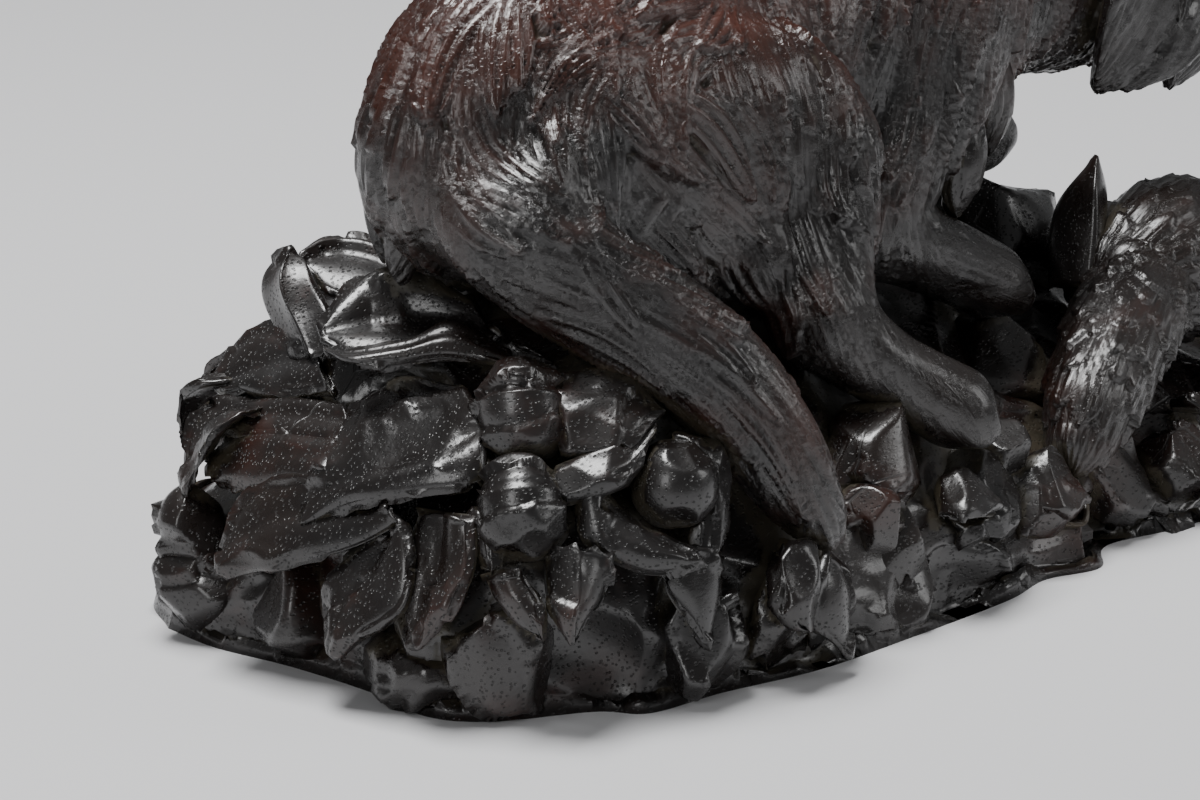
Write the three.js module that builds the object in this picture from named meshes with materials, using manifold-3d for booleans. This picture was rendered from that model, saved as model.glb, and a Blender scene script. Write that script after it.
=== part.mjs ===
// A long-haired gun dog lying on a rocky mound over a dead game bird, with fleshy leaves and
// round buds at its feet. The whole group is carved from one block of dark wood.
// Millimetres. X runs from the dog's rump to its head, Y from its right side to its left,
// Z up. The origin is the middle of the flat underside.

import * as THREE from 'three';
import { ParametricGeometry } from 'three/addons/geometries/ParametricGeometry.js';
import { mergeVertices } from 'three/addons/utils/BufferGeometryUtils.js';
import Module from 'manifold-3d';

const wasm = await Module();
wasm.setup();

// Driving dimensions of the mound.
const MOUND_HALF_LENGTH = 111;
const MOUND_HALF_WIDTH = 50.5;
const MOUND_OUTLINE = [
  [-110, 31], [-110.5, 20], [-108, 6], [-107, -10], [-108, -22], [-103, -30], [-90, -38],
  [-85, -44], [-72, -46], [-55, -50], [-35, -51], [-14, -51.2], [-3, -49.5], [7, -52.2],
  [16, -46.5], [33, -50], [55, -48], [80, -45], [98, -37], [108, -23], [111, -3], [109, 18],
  [100, 35], [84, 45], [58, 49], [28, 50], [-2, 51.6], [-34, 51], [-62, 50], [-86, 48.5],
  [-103, 42],
];
// Each row is a place along X and the value there.
const RIDGE_HEIGHT = [
  [-110, 14], [-104, 27], [-97, 37], [-88, 45], [-80, 51], [-15, 49], [10, 44], [45, 41],
  [57, 36], [68, 24], [80, 17], [98, 13], [110, 8],
];
const RIM_HEIGHT = [
  [-110, 16], [-95, 20], [-60, 17], [-20, 12], [10, 9], [35, 7], [80, 6], [110, 6],
];
const SLOPE_POWER = [
  [-110, 2.2], [-60, 2.8], [-30, 1.8], [0, 1.1], [30, 0.85], [60, 0.9], [110, 1.5],
];
const RIDGE_OFFSET = [[-110, 4], [-60, 0], [20, 2], [50, 8], [75, 4], [110, 0]];
const GOUGE_DEPTH = 1.6;
const GOUGE_DRAW = 0.018;

// Cleaning of the joins: [longest edge drawn together, most that a face may turn in radians].
const JOIN_CLEANING = [[0.9, 0.9], [1.8, 0.45], [3.2, 0.2]];
const SLIVER_AREA = 1e-3;

// Limbs. Each row is one station: x, y, z, half width, half height.
const TRUNK = [
  [-80, 0, 71, 13, 17], [-68, 0, 74, 18.5, 25], [-50, 0, 76, 20, 27], [-30, 0, 76, 18.5, 26],
  [-10, 0, 76, 19, 26], [6, 0, 77, 20, 27], [19, 0, 78, 18, 24],
];
const NECK = [
  [14, 0, 82, 17, 19], [30, 0, 80, 15, 18], [44, -1, 77.5, 12.5, 15.5],
  [55, -2, 75.5, 12, 14], [64, -3, 75, 12, 12.5],
];
const SKULL = [[67, -3, 76, 12, 11.5], [76, -3.5, 75, 11.5, 11]];
const MUZZLE = [[80, -4, 70, 8.5, 9.5], [91, -4.7, 67, 7.2, 8.4], [102, -5.5, 65.5, 6, 7]];
const NEAR_THIGH = [
  [-64, -9, 72, 15, 20], [-48, -14, 69, 13, 20], [-35, -18, 69, 10, 16],
  [-25, -20, 66.5, 8, 11.5],
];
const NEAR_SHANK = [[-24, -21, 66, 7.5, 8.5], [-29, -23, 55, 6.5, 6.5], [-35, -26, 46, 6.2, 6.2]];
const NEAR_HIND_FOOT = [
  [-35, -26, 45, 6.8, 6.4], [-25, -30, 38.5, 5.8, 5.6], [-16, -34, 32, 5.8, 5.2],
  [-9.5, -37, 26.5, 7, 5.4],
];
const FAR_THIGH = [
  [-64, 10, 73, 15, 19], [-48, 15, 68, 13, 17], [-36, 18, 63, 10, 13],
];
const FAR_HIND_FOOT = [
  [-42, 20, 55, 7, 7], [-28, 28, 46, 6, 5.5], [-14, 33, 38, 6.4, 5],
];
const NEAR_SHOULDER = [[18, -10, 84, 10, 16], [9, -13, 70, 9.5, 14], [-6, -15, 56, 9, 9]];
const NEAR_FORELEG = [
  [-14, -16, 51, 7, 7], [-2, -17.5, 47, 6.5, 6.4], [9, -18.5, 41, 6, 5.8],
  [18, -19.5, 36, 7, 5.6],
];
const FAR_SHOULDER = [[20, 11, 84, 10, 16], [14, 14, 70, 9.5, 13], [8, 15, 57, 8.5, 9]];
const FAR_FORELEG = [
  [2, 15, 53, 7, 7], [18, 13, 52, 6.4, 6.2], [33, 10, 50.5, 5.8, 5.4], [43, 8, 49.5, 6.8, 5.2],
];
const TAIL = [
  [-80, -5, 76, 7, 8], [-84, -13, 70, 7, 9], [-82, -23, 63, 6.5, 9.5],
  [-76, -32, 55, 6, 9.5], [-67, -40, 45, 5.6, 9.5], [-59, -44.5, 34, 5, 8.5],
  [-53, -47, 23, 3, 4.5],
];
const BIRD_BODY = [
  [44, -25, 31, 7, 7.5], [54, -24, 32, 12, 12], [66, -22, 30.5, 13, 12.5],
  [80, -22, 24, 9.5, 9], [92, -24, 17, 4.5, 4.5],
];
const BIRD_NECK = [
  [46, -28, 30, 7, 8], [36, -32.5, 26, 7.2, 7.8], [26, -37, 19.5, 7, 7],
  [18.5, -39.5, 12, 5.2, 5.2],
];

const UP = new THREE.Vector3(0, 0, 1);

// Value at x on a table of [place, value] rows, straight between the rows.
function along(table, x) {
  if (x <= table[0][0]) return table[0][1];
  for (let i = 1; i < table.length; i += 1) {
    const [x0, y0] = table[i - 1];
    const [x1, y1] = table[i];
    if (x <= x1) return y0 + ((y1 - y0) * (x - x0)) / (x1 - x0);
  }
  return table[table.length - 1][1];
}

// A number from -1 to 1 that looks random but is fixed for each pair of indices.
function scatter(i, j) {
  const wave = Math.sin(i * 127.1 + j * 311.7) * 43758.5453;
  return 2 * (wave - Math.floor(wave)) - 1;
}

// A closed surface: point(u, v) runs round with u from 0 to 1 and meets itself, and v goes
// from one pole to the other. Returned as a solid that can be joined to others.
function closedSolid(point, stepsRound, stepsAlong) {
  const shape = (u, v, target) => target.copy(point(u >= 1 ? 0 : u, v));
  const grid = new ParametricGeometry(shape, stepsRound, stepsAlong);
  grid.deleteAttribute('normal');
  grid.deleteAttribute('uv');
  return toSolid(grid);
}

// Merges a geometry's shared corners, drops collapsed faces and turns it right side out.
function toSolid(geometry) {
  const merged = mergeVertices(geometry, 1e-3);
  const index = merged.index.array;
  const position = merged.attributes.position.array;
  const faces = [];
  let volume = 0;
  const [a, b, c] = [new THREE.Vector3(), new THREE.Vector3(), new THREE.Vector3()];
  for (let i = 0; i < index.length; i += 3) {
    const [p, q, r] = [index[i], index[i + 1], index[i + 2]];
    if (p === q || q === r || r === p) continue;
    faces.push(p, q, r);
    a.fromArray(position, 3 * p);
    b.fromArray(position, 3 * q);
    c.fromArray(position, 3 * r);
    volume += a.dot(b.cross(c));
  }
  const triVerts = Uint32Array.from(volume < 0 ? faces.reverse() : faces);
  const vertProperties = Float32Array.from(position);
  return new wasm.Manifold(new wasm.Mesh({ numProp: 3, vertProperties, triVerts }));
}

// A rounded limb through its stations, with half-round ends. ridges is the number of locks
// of hair round it, ridge their height, lockLength how far one lock runs before the next
// lies over it, and twist how many turns the locks make along the limb.
function limb(stations, { sides = 14, steps = 8, ridges = 0, ridge = 0, lockLength = 14,
  twist = 0, ends = [1, 1], capRings = 1 } = {}) {
  const centres = stations.map(([x, y, z]) => new THREE.Vector3(x, y, z));
  const curve = new THREE.CatmullRomCurve3(centres);
  const radii = new THREE.CatmullRomCurve3(
    stations.map(([, , , wide, high]) => new THREE.Vector3(wide, high, 0)));
  const length = curve.getLength();
  const rows = steps + 2 * (capRings + 1);
  return closedSolid((u, v) => {
    const row = Math.round(v * rows);
    const inStart = row <= capRings;
    const inEnd = row >= rows - capRings;
    const t = Math.min(1, Math.max(0, (row - capRings - 1) / steps));
    const centre = curve.getPoint(t);
    const size = radii.getPoint(t);
    const tangent = curve.getTangent(t);
    const across = new THREE.Vector3().crossVectors(tangent, UP);
    if (across.lengthSq() < 0.05) across.set(0, -1, 0);
    across.normalize();
    const over = new THREE.Vector3().crossVectors(across, tangent).normalize();
    let shrink = 1;
    if (inStart || inEnd) {
      const step = inStart ? row : rows - row;
      const turn = (Math.PI / 2) * (1 - step / (capRings + 1));
      const reach = Math.sin(turn) * Math.min(size.x, size.y) * ends[inStart ? 0 : 1];
      centre.addScaledVector(tangent, inStart ? -reach : reach);
      shrink = Math.cos(turn);
      if (step === 0) shrink = 0;
    }
    const angle = 2 * Math.PI * u + 2 * Math.PI * twist * t;
    let lift = 0;
    if (ridges > 0) {
      const lock = Math.floor(u * ridges);
      const phase = (t * length) / lockLength + 0.5 * (lock % 2);
      const shingle = 0.45 + 0.55 * (phase - Math.floor(phase));
      lift = ridge * (Math.cos(2 * Math.PI * ridges * u) * shingle - 0.3);
    }
    const wide = (size.x + lift) * shrink;
    const high = (size.y + lift) * shrink;
    return centre.clone()
      .addScaledVector(across, wide * Math.cos(angle))
      .addScaledVector(over, high * Math.sin(angle));
  }, sides, rows);
}

// An egg shape with its own half sizes, turned about Z and then tilted about its own Y.
function egg([x, y, z], [length, wide, high], turn = 0, tilt = 0, detail = 10) {
  const ball = new THREE.SphereGeometry(1, detail, Math.round(detail * 0.6));
  ball.deleteAttribute('normal');
  ball.deleteAttribute('uv');
  ball.scale(length, wide, high);
  ball.rotateY(tilt);
  ball.rotateZ(turn);
  ball.translate(x, y, z);
  return toSolid(ball);
}

// A lump of rock: a coarse ball of flat faces, stretched and turned.
function rock([x, y, z], [length, wide, high], turn = 0) {
  const lump = new THREE.IcosahedronGeometry(1, 0);
  lump.deleteAttribute('normal');
  lump.deleteAttribute('uv');
  lump.scale(length, wide, high);
  lump.rotateX(turn * 1.7);
  lump.rotateZ(turn);
  lump.translate(x, y, z);
  return toSolid(lump);
}

// A thick pointed leaf from root to tip. face is the way its upper side looks, width its
// whole width, cup how far its edges rise, and arch how far its middle bows up.
function leaf(root, tip, face, width, { cup = 0.3, arch = 0.1, thick = 2.4 } = {}) {
  const start = new THREE.Vector3(...root);
  const line = new THREE.Vector3(...tip).sub(start);
  const length = line.length();
  const ahead = line.clone().normalize();
  const top = new THREE.Vector3(...face);
  top.addScaledVector(ahead, -top.dot(ahead)).normalize();
  const side = new THREE.Vector3().crossVectors(ahead, top);
  return closedSolid((u, v) => {
    const halfWidth = 0.5 * width * Math.sin(Math.PI * Math.pow(v, 0.8)) ** 0.8;
    const turn = 2 * Math.PI * u;
    const reach = Math.cos(turn);
    const body = 0.5 * thick * Math.sin(Math.PI * v) ** 0.4;
    const lift = body * Math.sin(turn) + 2 * cup * halfWidth * reach * reach
      + arch * length * Math.sin(Math.PI * v);
    return start.clone()
      .addScaledVector(line, v)
      .addScaledVector(side, halfWidth * reach)
      .addScaledVector(top, v === 0 || v === 1 ? 0 : lift);
  }, 8, 6);
}

// Height of the mound's top over a point: the ridge falls to the rim on both sides.
function moundHeight(x, y) {
  const half = MOUND_HALF_WIDTH
    * Math.pow(Math.max(1e-4, 1 - Math.abs(x / MOUND_HALF_LENGTH) ** 4), 0.25);
  const middle = along(RIDGE_OFFSET, x);
  const side = y < middle ? (middle - y) / (half + middle) : (y - middle) / (half - middle);
  const fall = Math.min(1, side) ** along(SLOPE_POWER, x);
  const rim = along(RIM_HEIGHT, x);
  return rim + (along(RIDGE_HEIGHT, x) - rim) * (1 - fall);
}

// The mound: rings that shrink from its outline to the middle on top, a gouged side wall
// and a flat underside.
function mound() {
  const outline = new THREE.CatmullRomCurve3(
    MOUND_OUTLINE.map(([x, y]) => new THREE.Vector3(x, y, 0)), true);
  const topRings = [0, 0.3, 0.5, 0.67, 0.8, 0.9, 0.98];
  const wallRings = [0.5, 0];
  const rings = topRings.length + wallRings.length;
  return closedSolid((u, v) => {
    const ring = Math.round(v * rings);
    const edge = outline.getPoint(u);
    const mark = Math.round(u * 1000);
    if (ring === 0) return new THREE.Vector3(0, 0, moundHeight(0, 0));
    if (ring === rings) return new THREE.Vector3(0, 0, 0);
    if (ring < topRings.length) {
      const part = topRings[ring] * (1 + GOUGE_DRAW * scatter(mark, ring));
      const x = edge.x * part;
      const y = edge.y * part;
      return new THREE.Vector3(x, y, moundHeight(x, y) + GOUGE_DEPTH * scatter(ring, mark));
    }
    const level = wallRings[ring - topRings.length];
    const draw = level > 0 ? 1 + GOUGE_DRAW * scatter(mark, ring) : 1;
    const rim = along(RIM_HEIGHT, edge.x);
    return new THREE.Vector3(edge.x * draw, edge.y * draw, rim * level);
  }, 54, rings);
}

const pieces = [mound()];

// Rocks: the big one under the far forepaw, then the broken lumps along the near side.
pieces.push(rock([42, 5, 31], [18, 14, 15], 0.4));
pieces.push(rock([22, -17, 20], [13, 10, 9], 1.1));
pieces.push(rock([-60, -45, 9], [7, 6, 9], 0.3));
pieces.push(rock([-50, -46, 9], [6, 6, 9], 1.3));
pieces.push(rock([-30, -36, 24], [11, 9, 10], 0.8));
pieces.push(rock([-12, -39, 13], [10, 9, 8], 2.1));
pieces.push(rock([-35, -44, 11], [8, 6, 8], 2.6));
pieces.push(rock([2, -43, 8], [8, 7, 6], 0.6));
pieces.push(rock([-76, 40, 20], [11, 10, 12], 0.5));
pieces.push(rock([-20, 40, 20], [13, 9, 13], 1.9));
pieces.push(rock([14, 38, 16], [12, 10, 12], 0.2));
pieces.push(rock([62, 30, 15], [12, 10, 9], 1.4));

// The dog's trunk, neck and thighs, with locks of hair running back along them.
const coat = { ridges: 13, ridge: 1.9, sides: 26, steps: 11, lockLength: 17 };
pieces.push(limb(TRUNK, { ...coat, twist: 0.04, ends: [0.7, 0.9] }));
pieces.push(limb(NECK, { ...coat, ridges: 9, sides: 18, steps: 6, twist: -0.06 }));
pieces.push(limb(NEAR_THIGH, { ridges: 7, ridge: 1.1, sides: 14, steps: 5, twist: 0.08 }));
pieces.push(limb(FAR_THIGH, { ridges: 7, ridge: 1.1, sides: 14, steps: 4, twist: -0.08 }));
pieces.push(egg([-52, -12, 56], [22, 12.5, 11], -0.05, 0.1, 12));
pieces.push(egg([-52, 13, 56], [20, 12.5, 11], 0.05, 0.1, 10));
pieces.push(limb(NEAR_SHOULDER, { ridges: 5, ridge: 1, sides: 10, steps: 4 }));
pieces.push(limb(FAR_SHOULDER, { ridges: 5, ridge: 1, sides: 10, steps: 3 }));
pieces.push(limb(TAIL, { ridges: 7, ridge: 1.3, sides: 14, steps: 11, lockLength: 22, twist: 0.12 }));

// Legs and feet, smoother than the body, each foot ending in four toes.
pieces.push(limb(NEAR_SHANK, { sides: 8, steps: 2 }));
function foot(stations, toeSize) {
  pieces.push(limb(stations, { sides: 8, steps: 4 }));
  const last = new THREE.Vector3(...stations[stations.length - 1]);
  const before = new THREE.Vector3(...stations[stations.length - 2]);
  const ahead = last.clone().sub(before).normalize();
  const side = new THREE.Vector3().crossVectors(ahead, UP).normalize();
  const turn = Math.atan2(ahead.y, ahead.x);
  const tilt = -Math.asin(ahead.z);
  for (let toe = 0; toe < 4; toe += 1) {
    const offset = toe - 1.5;
    const place = last.clone()
      .addScaledVector(side, offset * toeSize)
      .addScaledVector(ahead, 2.2 + toeSize * (1.2 - 0.35 * Math.abs(offset)));
    place.z -= 0.8;
    const size = [toeSize * 1.7, toeSize * 0.75, toeSize * 1.05];
    pieces.push(egg(place.toArray(), size, turn, tilt, 6));
  }
}
foot(NEAR_HIND_FOOT, 3.2);
foot(FAR_HIND_FOOT, 3.1);
foot(NEAR_FORELEG, 3.2);
foot(FAR_FORELEG, 3.2);

// The head: skull, muzzle with hanging lips and lower jaw, nose, brows, eyes and cheeks.
const HEAD_LINE = -4;
const HEAD_TURN = -0.07;
pieces.push(limb(SKULL, { sides: 14, steps: 2, capRings: 2 }));
pieces.push(limb(MUZZLE, { sides: 12, steps: 3, capRings: 2 }));
pieces.push(egg([105.5, -5.9, 68], [3.6, 4, 3.2], HEAD_TURN, 0, 8));
pieces.push(egg([89, -4.7, 60.5], [13, 4.8, 3.6], HEAD_TURN, 0.06, 8));
for (const side of [-1, 1]) {
  const lips = [94, HEAD_LINE - 0.8 + side * 4.6, 63.5];
  pieces.push(egg(lips, [10, 3.4, 6], HEAD_TURN, 0.08, 8));
  pieces.push(egg([80, HEAD_LINE + side * 6.2, 79.5], [5.4, 3.6, 3.2], HEAD_TURN, 0.35, 8));
  pieces.push(egg([83, HEAD_LINE + side * 6.8, 76.3], [2.2, 1.7, 2], HEAD_TURN, 0, 6));
  pieces.push(egg([76, HEAD_LINE + side * 7, 68], [8, 4.4, 8], HEAD_TURN, 0, 8));
}

// The long ears, hanging from the sides of the skull back along the neck.
const ear = { cup: 0.12, arch: 0.1, thick: 4.2 };
for (const side of [-1, 1]) {
  const sway = (y) => HEAD_LINE + side * y;
  pieces.push(leaf([75, sway(7.5), 84], [56, sway(11), 58.5], [0.1, side, 0.25], 22, ear));
  pieces.push(leaf([76, sway(8.5), 80], [70, sway(10.5), 56.5], [0.1, side, 0.1], 15, ear));
}

// Locks of long hair: down the chest, behind the thighs and off the elbows.
const lock = { cup: -0.15, arch: 0.12, thick: 3.6 };
for (const [root, tip, face, width] of [
  [[31, -9, 80], [32, -8, 61], [1, -0.6, 0.2], 9],
  [[33, -1, 80], [35, 0, 59], [1, 0, 0.2], 9],
  [[31, 8, 80], [34, 8, 60], [1, 0.6, 0.2], 9],
  [[24, -15, 74], [23, -15, 55], [0.6, -1, 0.1], 8],
  [[44, -9, 74], [50, -11, 60], [0.2, -1, -0.2], 12],
  [[52, -10, 73], [59, -12, 58.5], [0.2, -1, -0.2], 12],
  [[44, 8, 74], [51, 9, 60], [0.2, 1, -0.2], 12],
  [[48, -1, 70], [57, -2, 60], [0.6, 0, -1], 12],
  [[14, -19, 66], [10, -19, 48], [0.1, -1, 0.1], 9],
  [[4, -19, 66], [0, -21, 49], [0, -1, 0.1], 8],
  [[-80, 11, 78], [-83, 10, 55], [-1, 0.5, 0.1], 9],
  [[-81, 3, 78], [-87, 3, 54], [-1, 0, 0.1], 9],
  [[-73, 15, 76], [-77, 15, 54], [-0.7, 1, 0.1], 9],
  [[-64, 19, 74], [-68, 20, 52], [-0.2, 1, 0.1], 9],
]) pieces.push(leaf(root, tip, face, width, lock));

// Ragged hair along the tail's lower edge and its pointed end.
for (const [root, tip, width] of [
  [[-82, -22, 57], [-78, -33, 43], 8],
  [[-75, -31, 49], [-68, -42, 33], 9],
  [[-66, -39, 39], [-58, -46, 23], 8],
  [[-56, -44, 33], [-49, -48, 18.5], 6.5],
]) pieces.push(leaf(root, tip, [-0.5, -0.8, 0.3], width, lock));

// The dead bird: body, wing, hanging neck, head with its beak, and tail feathers.
pieces.push(limb(BIRD_BODY, { ridges: 7, ridge: 1, sides: 14, steps: 6, lockLength: 9 }));
pieces.push(limb(BIRD_NECK, { ridges: 4, ridge: 0.6, sides: 8, steps: 4, lockLength: 8 }));
pieces.push(egg([16.5, -40.5, 9.5], [5.2, 4.8, 5], 0.6, 0.5, 8));
pieces.push(leaf([16.5, -41, 8], [12, -43.5, 2.5], [-0.8, -0.5, 0.2], 4.5,
  { cup: -0.3, arch: 0.1, thick: 3 }));
for (let feather = 0; feather < 5; feather += 1) {
  const spread = feather - 2;
  pieces.push(leaf([84, -23 + 1.2 * spread, 20], [104 - Math.abs(spread), -26 + 4 * spread, 13],
    [0.2, 0.1 * spread, 1], 6.5, { cup: -0.2, arch: 0.06, thick: 2.4 }));
}
for (let feather = 0; feather < 6; feather += 1) {
  const drop = feather / 5;
  pieces.push(leaf([58 + 3 * feather, -33, 33 - 4 * drop], [76 + 4 * feather, -43 + 5 * drop, 15],
    [0.1, -0.8, 0.6], 8.5, { cup: -0.15, arch: 0.12, thick: 2.6 }));
}

// Leaves at the rump end, each as root, tip, the way it faces, width and cup.
for (const [root, tip, face, width, cup] of [
  [[-80, 6, 55], [-98, 11, 58.5], [-0.5, -0.2, 0.85], 13, 0.1],
  [[-84, -15, 53], [-104, 3, 51], [-0.4, -0.35, 0.85], 17.5, 0.34],
  [[-92, 15, 55], [-99, 5, 43], [-0.8, -0.4, 0.4], 11, 0.1],
  [[-92, 6, 42], [-100, 29, 36], [-0.8, -0.3, 0.5], 13, 0.1],
  [[-93, 0, 33], [-101, 30, 31], [-0.95, 0, 0.3], 13, 0.1],
  [[-96, -3, 27], [-104, 27, 25], [-0.95, 0.1, 0.3], 11, 0.1],
  [[-90, -20, 40], [-109.5, 2, 23], [-0.75, -0.4, 0.55], 18, 0.22],
  [[-100, -14, 26], [-110, 14, 15], [-0.9, -0.1, 0.5], 12, 0.15],
  [[-102, -13, 26], [-108.5, -6, 6.5], [-1, -0.3, 0.3], 11, 0.2],
  [[-97, -19, 31], [-107.5, -21.5, 12.5], [-0.9, -0.5, 0.35], 9.5, 0.2],
  [[-90, -28, 42], [-72, -36.5, 40], [-0.4, -0.7, 0.6], 12, -0.2],
  [[-94, -31, 36], [-75, -39, 38], [-0.3, -0.9, 0.1], 7, 0.1],
  [[-99, -28, 31], [-105, -28.5, 22], [-0.8, -0.6, 0.3], 6, -0.1],
  [[-82, -31, 41], [-79, -45.5, 20], [-0.4, -0.8, 0.35], 20, 0.35],
  [[-93, -33, 27], [-97, -36.5, 11], [-0.6, -0.8, 0.3], 9, 0],
  [[-87, -37, 24], [-88, -42, 9], [-0.3, -0.9, 0.3], 9, 0],
  [[38, -18, 27], [44, -20, 52], [-0.7, -0.7, 0.1], 9, 0.3],
]) pieces.push(leaf(root, tip, face, width, { cup, arch: 0.1, thick: 2.8 }));

// Round buds, the first three at the near corner and the rest round the mound.
for (const [place, size] of [
  [[-93.5, -27, 43.6], 7], [[-98, -31.5, 31], 7], [[-78.5, -44, 33.5], 6.4], [[-60, 38, 38], 6.5],
  [[-36, 42, 32], 6.2], [[30, 36, 26], 6.2], [[88, 20, 16], 6.4], [[94, -12, 15], 6.4],
]) pieces.push(egg(place, [size, size, size * 1.08], 0, 0, 10));

// More leaves, lying on the slope: an upper and a lower row down the far side, then round
// the head end. Each as its root's x and y, the way it points and its length.
const slopeLeaves = [];
for (let place = 0; place < 7; place += 1) {
  const x = -90 + 22 * place;
  slopeLeaves.push([x, 27 + scatter(place, 3), 1.9 + 0.5 * scatter(place, 5), 21]);
  slopeLeaves.push([x + 10, 36 + scatter(place, 4), 1.2 + 0.5 * scatter(place, 6), 19]);
}
slopeLeaves.push([-96, 20, 2.6, 19], [68, 28, 0.9, 21], [80, 21, 1.3, 19], [86, 14, 0.3, 20]);
slopeLeaves.push([92, 2, 0.5, 18], [88, -10, -0.2, 20], [84, -22, -0.7, 19]);
slopeLeaves.push([66, -33, -1.1, 15], [46, -36, -1.6, 13]);
for (const [x, y, turn, length] of slopeLeaves) {
  const [tipX, tipY] = [x + 0.7 * length * Math.cos(turn), y + 0.7 * length * Math.sin(turn)];
  const root = [x, y, moundHeight(x, y) - 1];
  const tip = [tipX, tipY, moundHeight(tipX, tipY) + 3];
  const face = [0.7 * Math.cos(turn), 0.7 * Math.sin(turn), 0.8];
  pieces.push(leaf(root, tip, face, 0.6 * length, { cup: 0.2, arch: 0.2, thick: 3 }));
}

// The shells of a joined mesh, each as its list of faces: the outer one and those of any
// pockets closed in between the pieces.
function shellsOf(triVerts, cornerCount) {
  const leader = Array.from({ length: cornerCount }, (_, corner) => corner);
  const find = (corner) => {
    let top = corner;
    while (leader[top] !== top) top = leader[top];
    leader[corner] = top;
    return top;
  };
  for (let i = 0; i < triVerts.length; i += 3) {
    leader[find(triVerts[i + 1])] = find(triVerts[i]);
    leader[find(triVerts[i + 2])] = find(triVerts[i]);
  }
  const shells = new Map();
  for (let i = 0; i < triVerts.length; i += 3) {
    const key = find(triVerts[i]);
    if (!shells.has(key)) shells.set(key, []);
    shells.get(key).push([triVerts[i], triVerts[i + 1], triVerts[i + 2]]);
  }
  return [...shells.values()];
}

// Draws the two ends of each edge shorter than reach into one, where the surface stays
// closed and no face turns by more than the angle whose cosine is facing.
function closeSlivers(position, faces, reach, facing) {
  const around = Array.from({ length: position.length / 3 }, () => new Set());
  faces.forEach((face, i) => face.forEach((corner) => around[corner].add(i)));
  const point = (corner) => new THREE.Vector3().fromArray(position, 3 * corner);
  const square = (face) => {
    const [p, q, r] = face.map(point);
    return q.sub(p).cross(r.sub(p));
  };
  const ring = (corner) => new Set([...around[corner]].flatMap((i) => faces[i]));
  const gone = new Set();
  const tryEdge = (from, to) => {
    if (point(from).distanceTo(point(to)) > reach) return;
    const [near, far] = [ring(from), ring(to)];
    const shared = [...near].filter((corner) => far.has(corner));
    if (shared.length !== 4) return;
    const kept = [...around[from]].filter((i) => !faces[i].includes(to));
    const fits = kept.every((i) => {
      const before = square(faces[i]);
      const after = square(faces[i].map((corner) => (corner === from ? to : corner)));
      if (after.length() < SLIVER_AREA) return false;
      return before.length() < SLIVER_AREA || before.angleTo(after) < facing;
    });
    if (!fits) return;
    for (const i of around[from]) {
      if (kept.includes(i)) {
        faces[i] = faces[i].map((corner) => (corner === from ? to : corner));
        around[to].add(i);
      } else {
        gone.add(i);
        faces[i].forEach((corner) => corner !== from && around[corner].delete(i));
      }
    }
    around[from].clear();
  };
  faces.forEach((_, i) => {
    for (let side = 0; side < 3; side += 1) {
      if (!gone.has(i)) tryEdge(faces[i][side], faces[i][(side + 1) % 3]);
    }
  });
  return faces.filter((_, i) => !gone.has(i));
}

// The joined block, kept solid: closed pockets are filled and slivers along the joins go.
const joined = pieces.reduce((whole, piece) => whole.add(piece)).getMesh();
const corners = joined.vertProperties;
const shells = shellsOf(joined.triVerts, corners.length / 3);
let skin = shells.reduce((most, shell) => (shell.length > most.length ? shell : most));
for (const [reach, turn] of JOIN_CLEANING) skin = closeSlivers(corners, skin, reach, turn);

const rough = new THREE.BufferGeometry();
rough.setAttribute('position', new THREE.BufferAttribute(corners, 3));
rough.setIndex(skin.flat());
const geometry = mergeVertices(rough.toNonIndexed(), 1e-5);
geometry.computeBoundingBox();
const middle = geometry.boundingBox.getCenter(new THREE.Vector3());
geometry.translate(-middle.x, -middle.y, 0);
geometry.computeVertexNormals();

const wood = new THREE.MeshStandardMaterial({ color: 0x1d0f0a, roughness: 0.34, metalness: 0 });
const dog = new THREE.Mesh(geometry, wood);
dog.name = 'carved_dog_group';

const group = new THREE.Group();
group.add(dog);

export default group;
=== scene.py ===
"""Looks of a carved wooden dog lying on a rocky, leafy mound, in metres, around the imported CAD."""

import math

import bpy
import numpy as np
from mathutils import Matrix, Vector


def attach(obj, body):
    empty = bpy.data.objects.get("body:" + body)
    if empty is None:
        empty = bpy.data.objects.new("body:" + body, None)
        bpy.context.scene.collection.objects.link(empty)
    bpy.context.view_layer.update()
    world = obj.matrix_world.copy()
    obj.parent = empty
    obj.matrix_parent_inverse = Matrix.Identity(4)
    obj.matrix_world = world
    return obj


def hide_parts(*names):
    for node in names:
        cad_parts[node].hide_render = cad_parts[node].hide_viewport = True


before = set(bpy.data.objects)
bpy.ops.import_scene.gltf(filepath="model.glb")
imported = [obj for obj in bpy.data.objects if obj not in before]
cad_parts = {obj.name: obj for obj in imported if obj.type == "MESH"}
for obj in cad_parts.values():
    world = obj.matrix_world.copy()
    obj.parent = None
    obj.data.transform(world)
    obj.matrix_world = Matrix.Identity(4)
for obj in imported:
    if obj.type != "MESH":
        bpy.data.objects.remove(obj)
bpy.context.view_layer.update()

# The dog's body, neck, legs and tail, in dark stained wood, as a right and a left half that meet
# along the spine. The forms are rounded limbs run into each other, and the long coat is cut over
# them with a V-tool in overlapping locks. It is one block with the mound that it lies on.

MM = 0.001
UP = np.array([0.0, 0.0, 1.0])
RIGHT_PITCH = 0.60
LEFT_PITCH = 0.84
BODY_LOW = np.array([-104.0, -54.0, 12.0])
BODY_HIGH = np.array([72.0, 46.0, 107.0])
SEAM_DIVE = 0.6
ROUGH = 3
SEAM_LAP = 2.5

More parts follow.
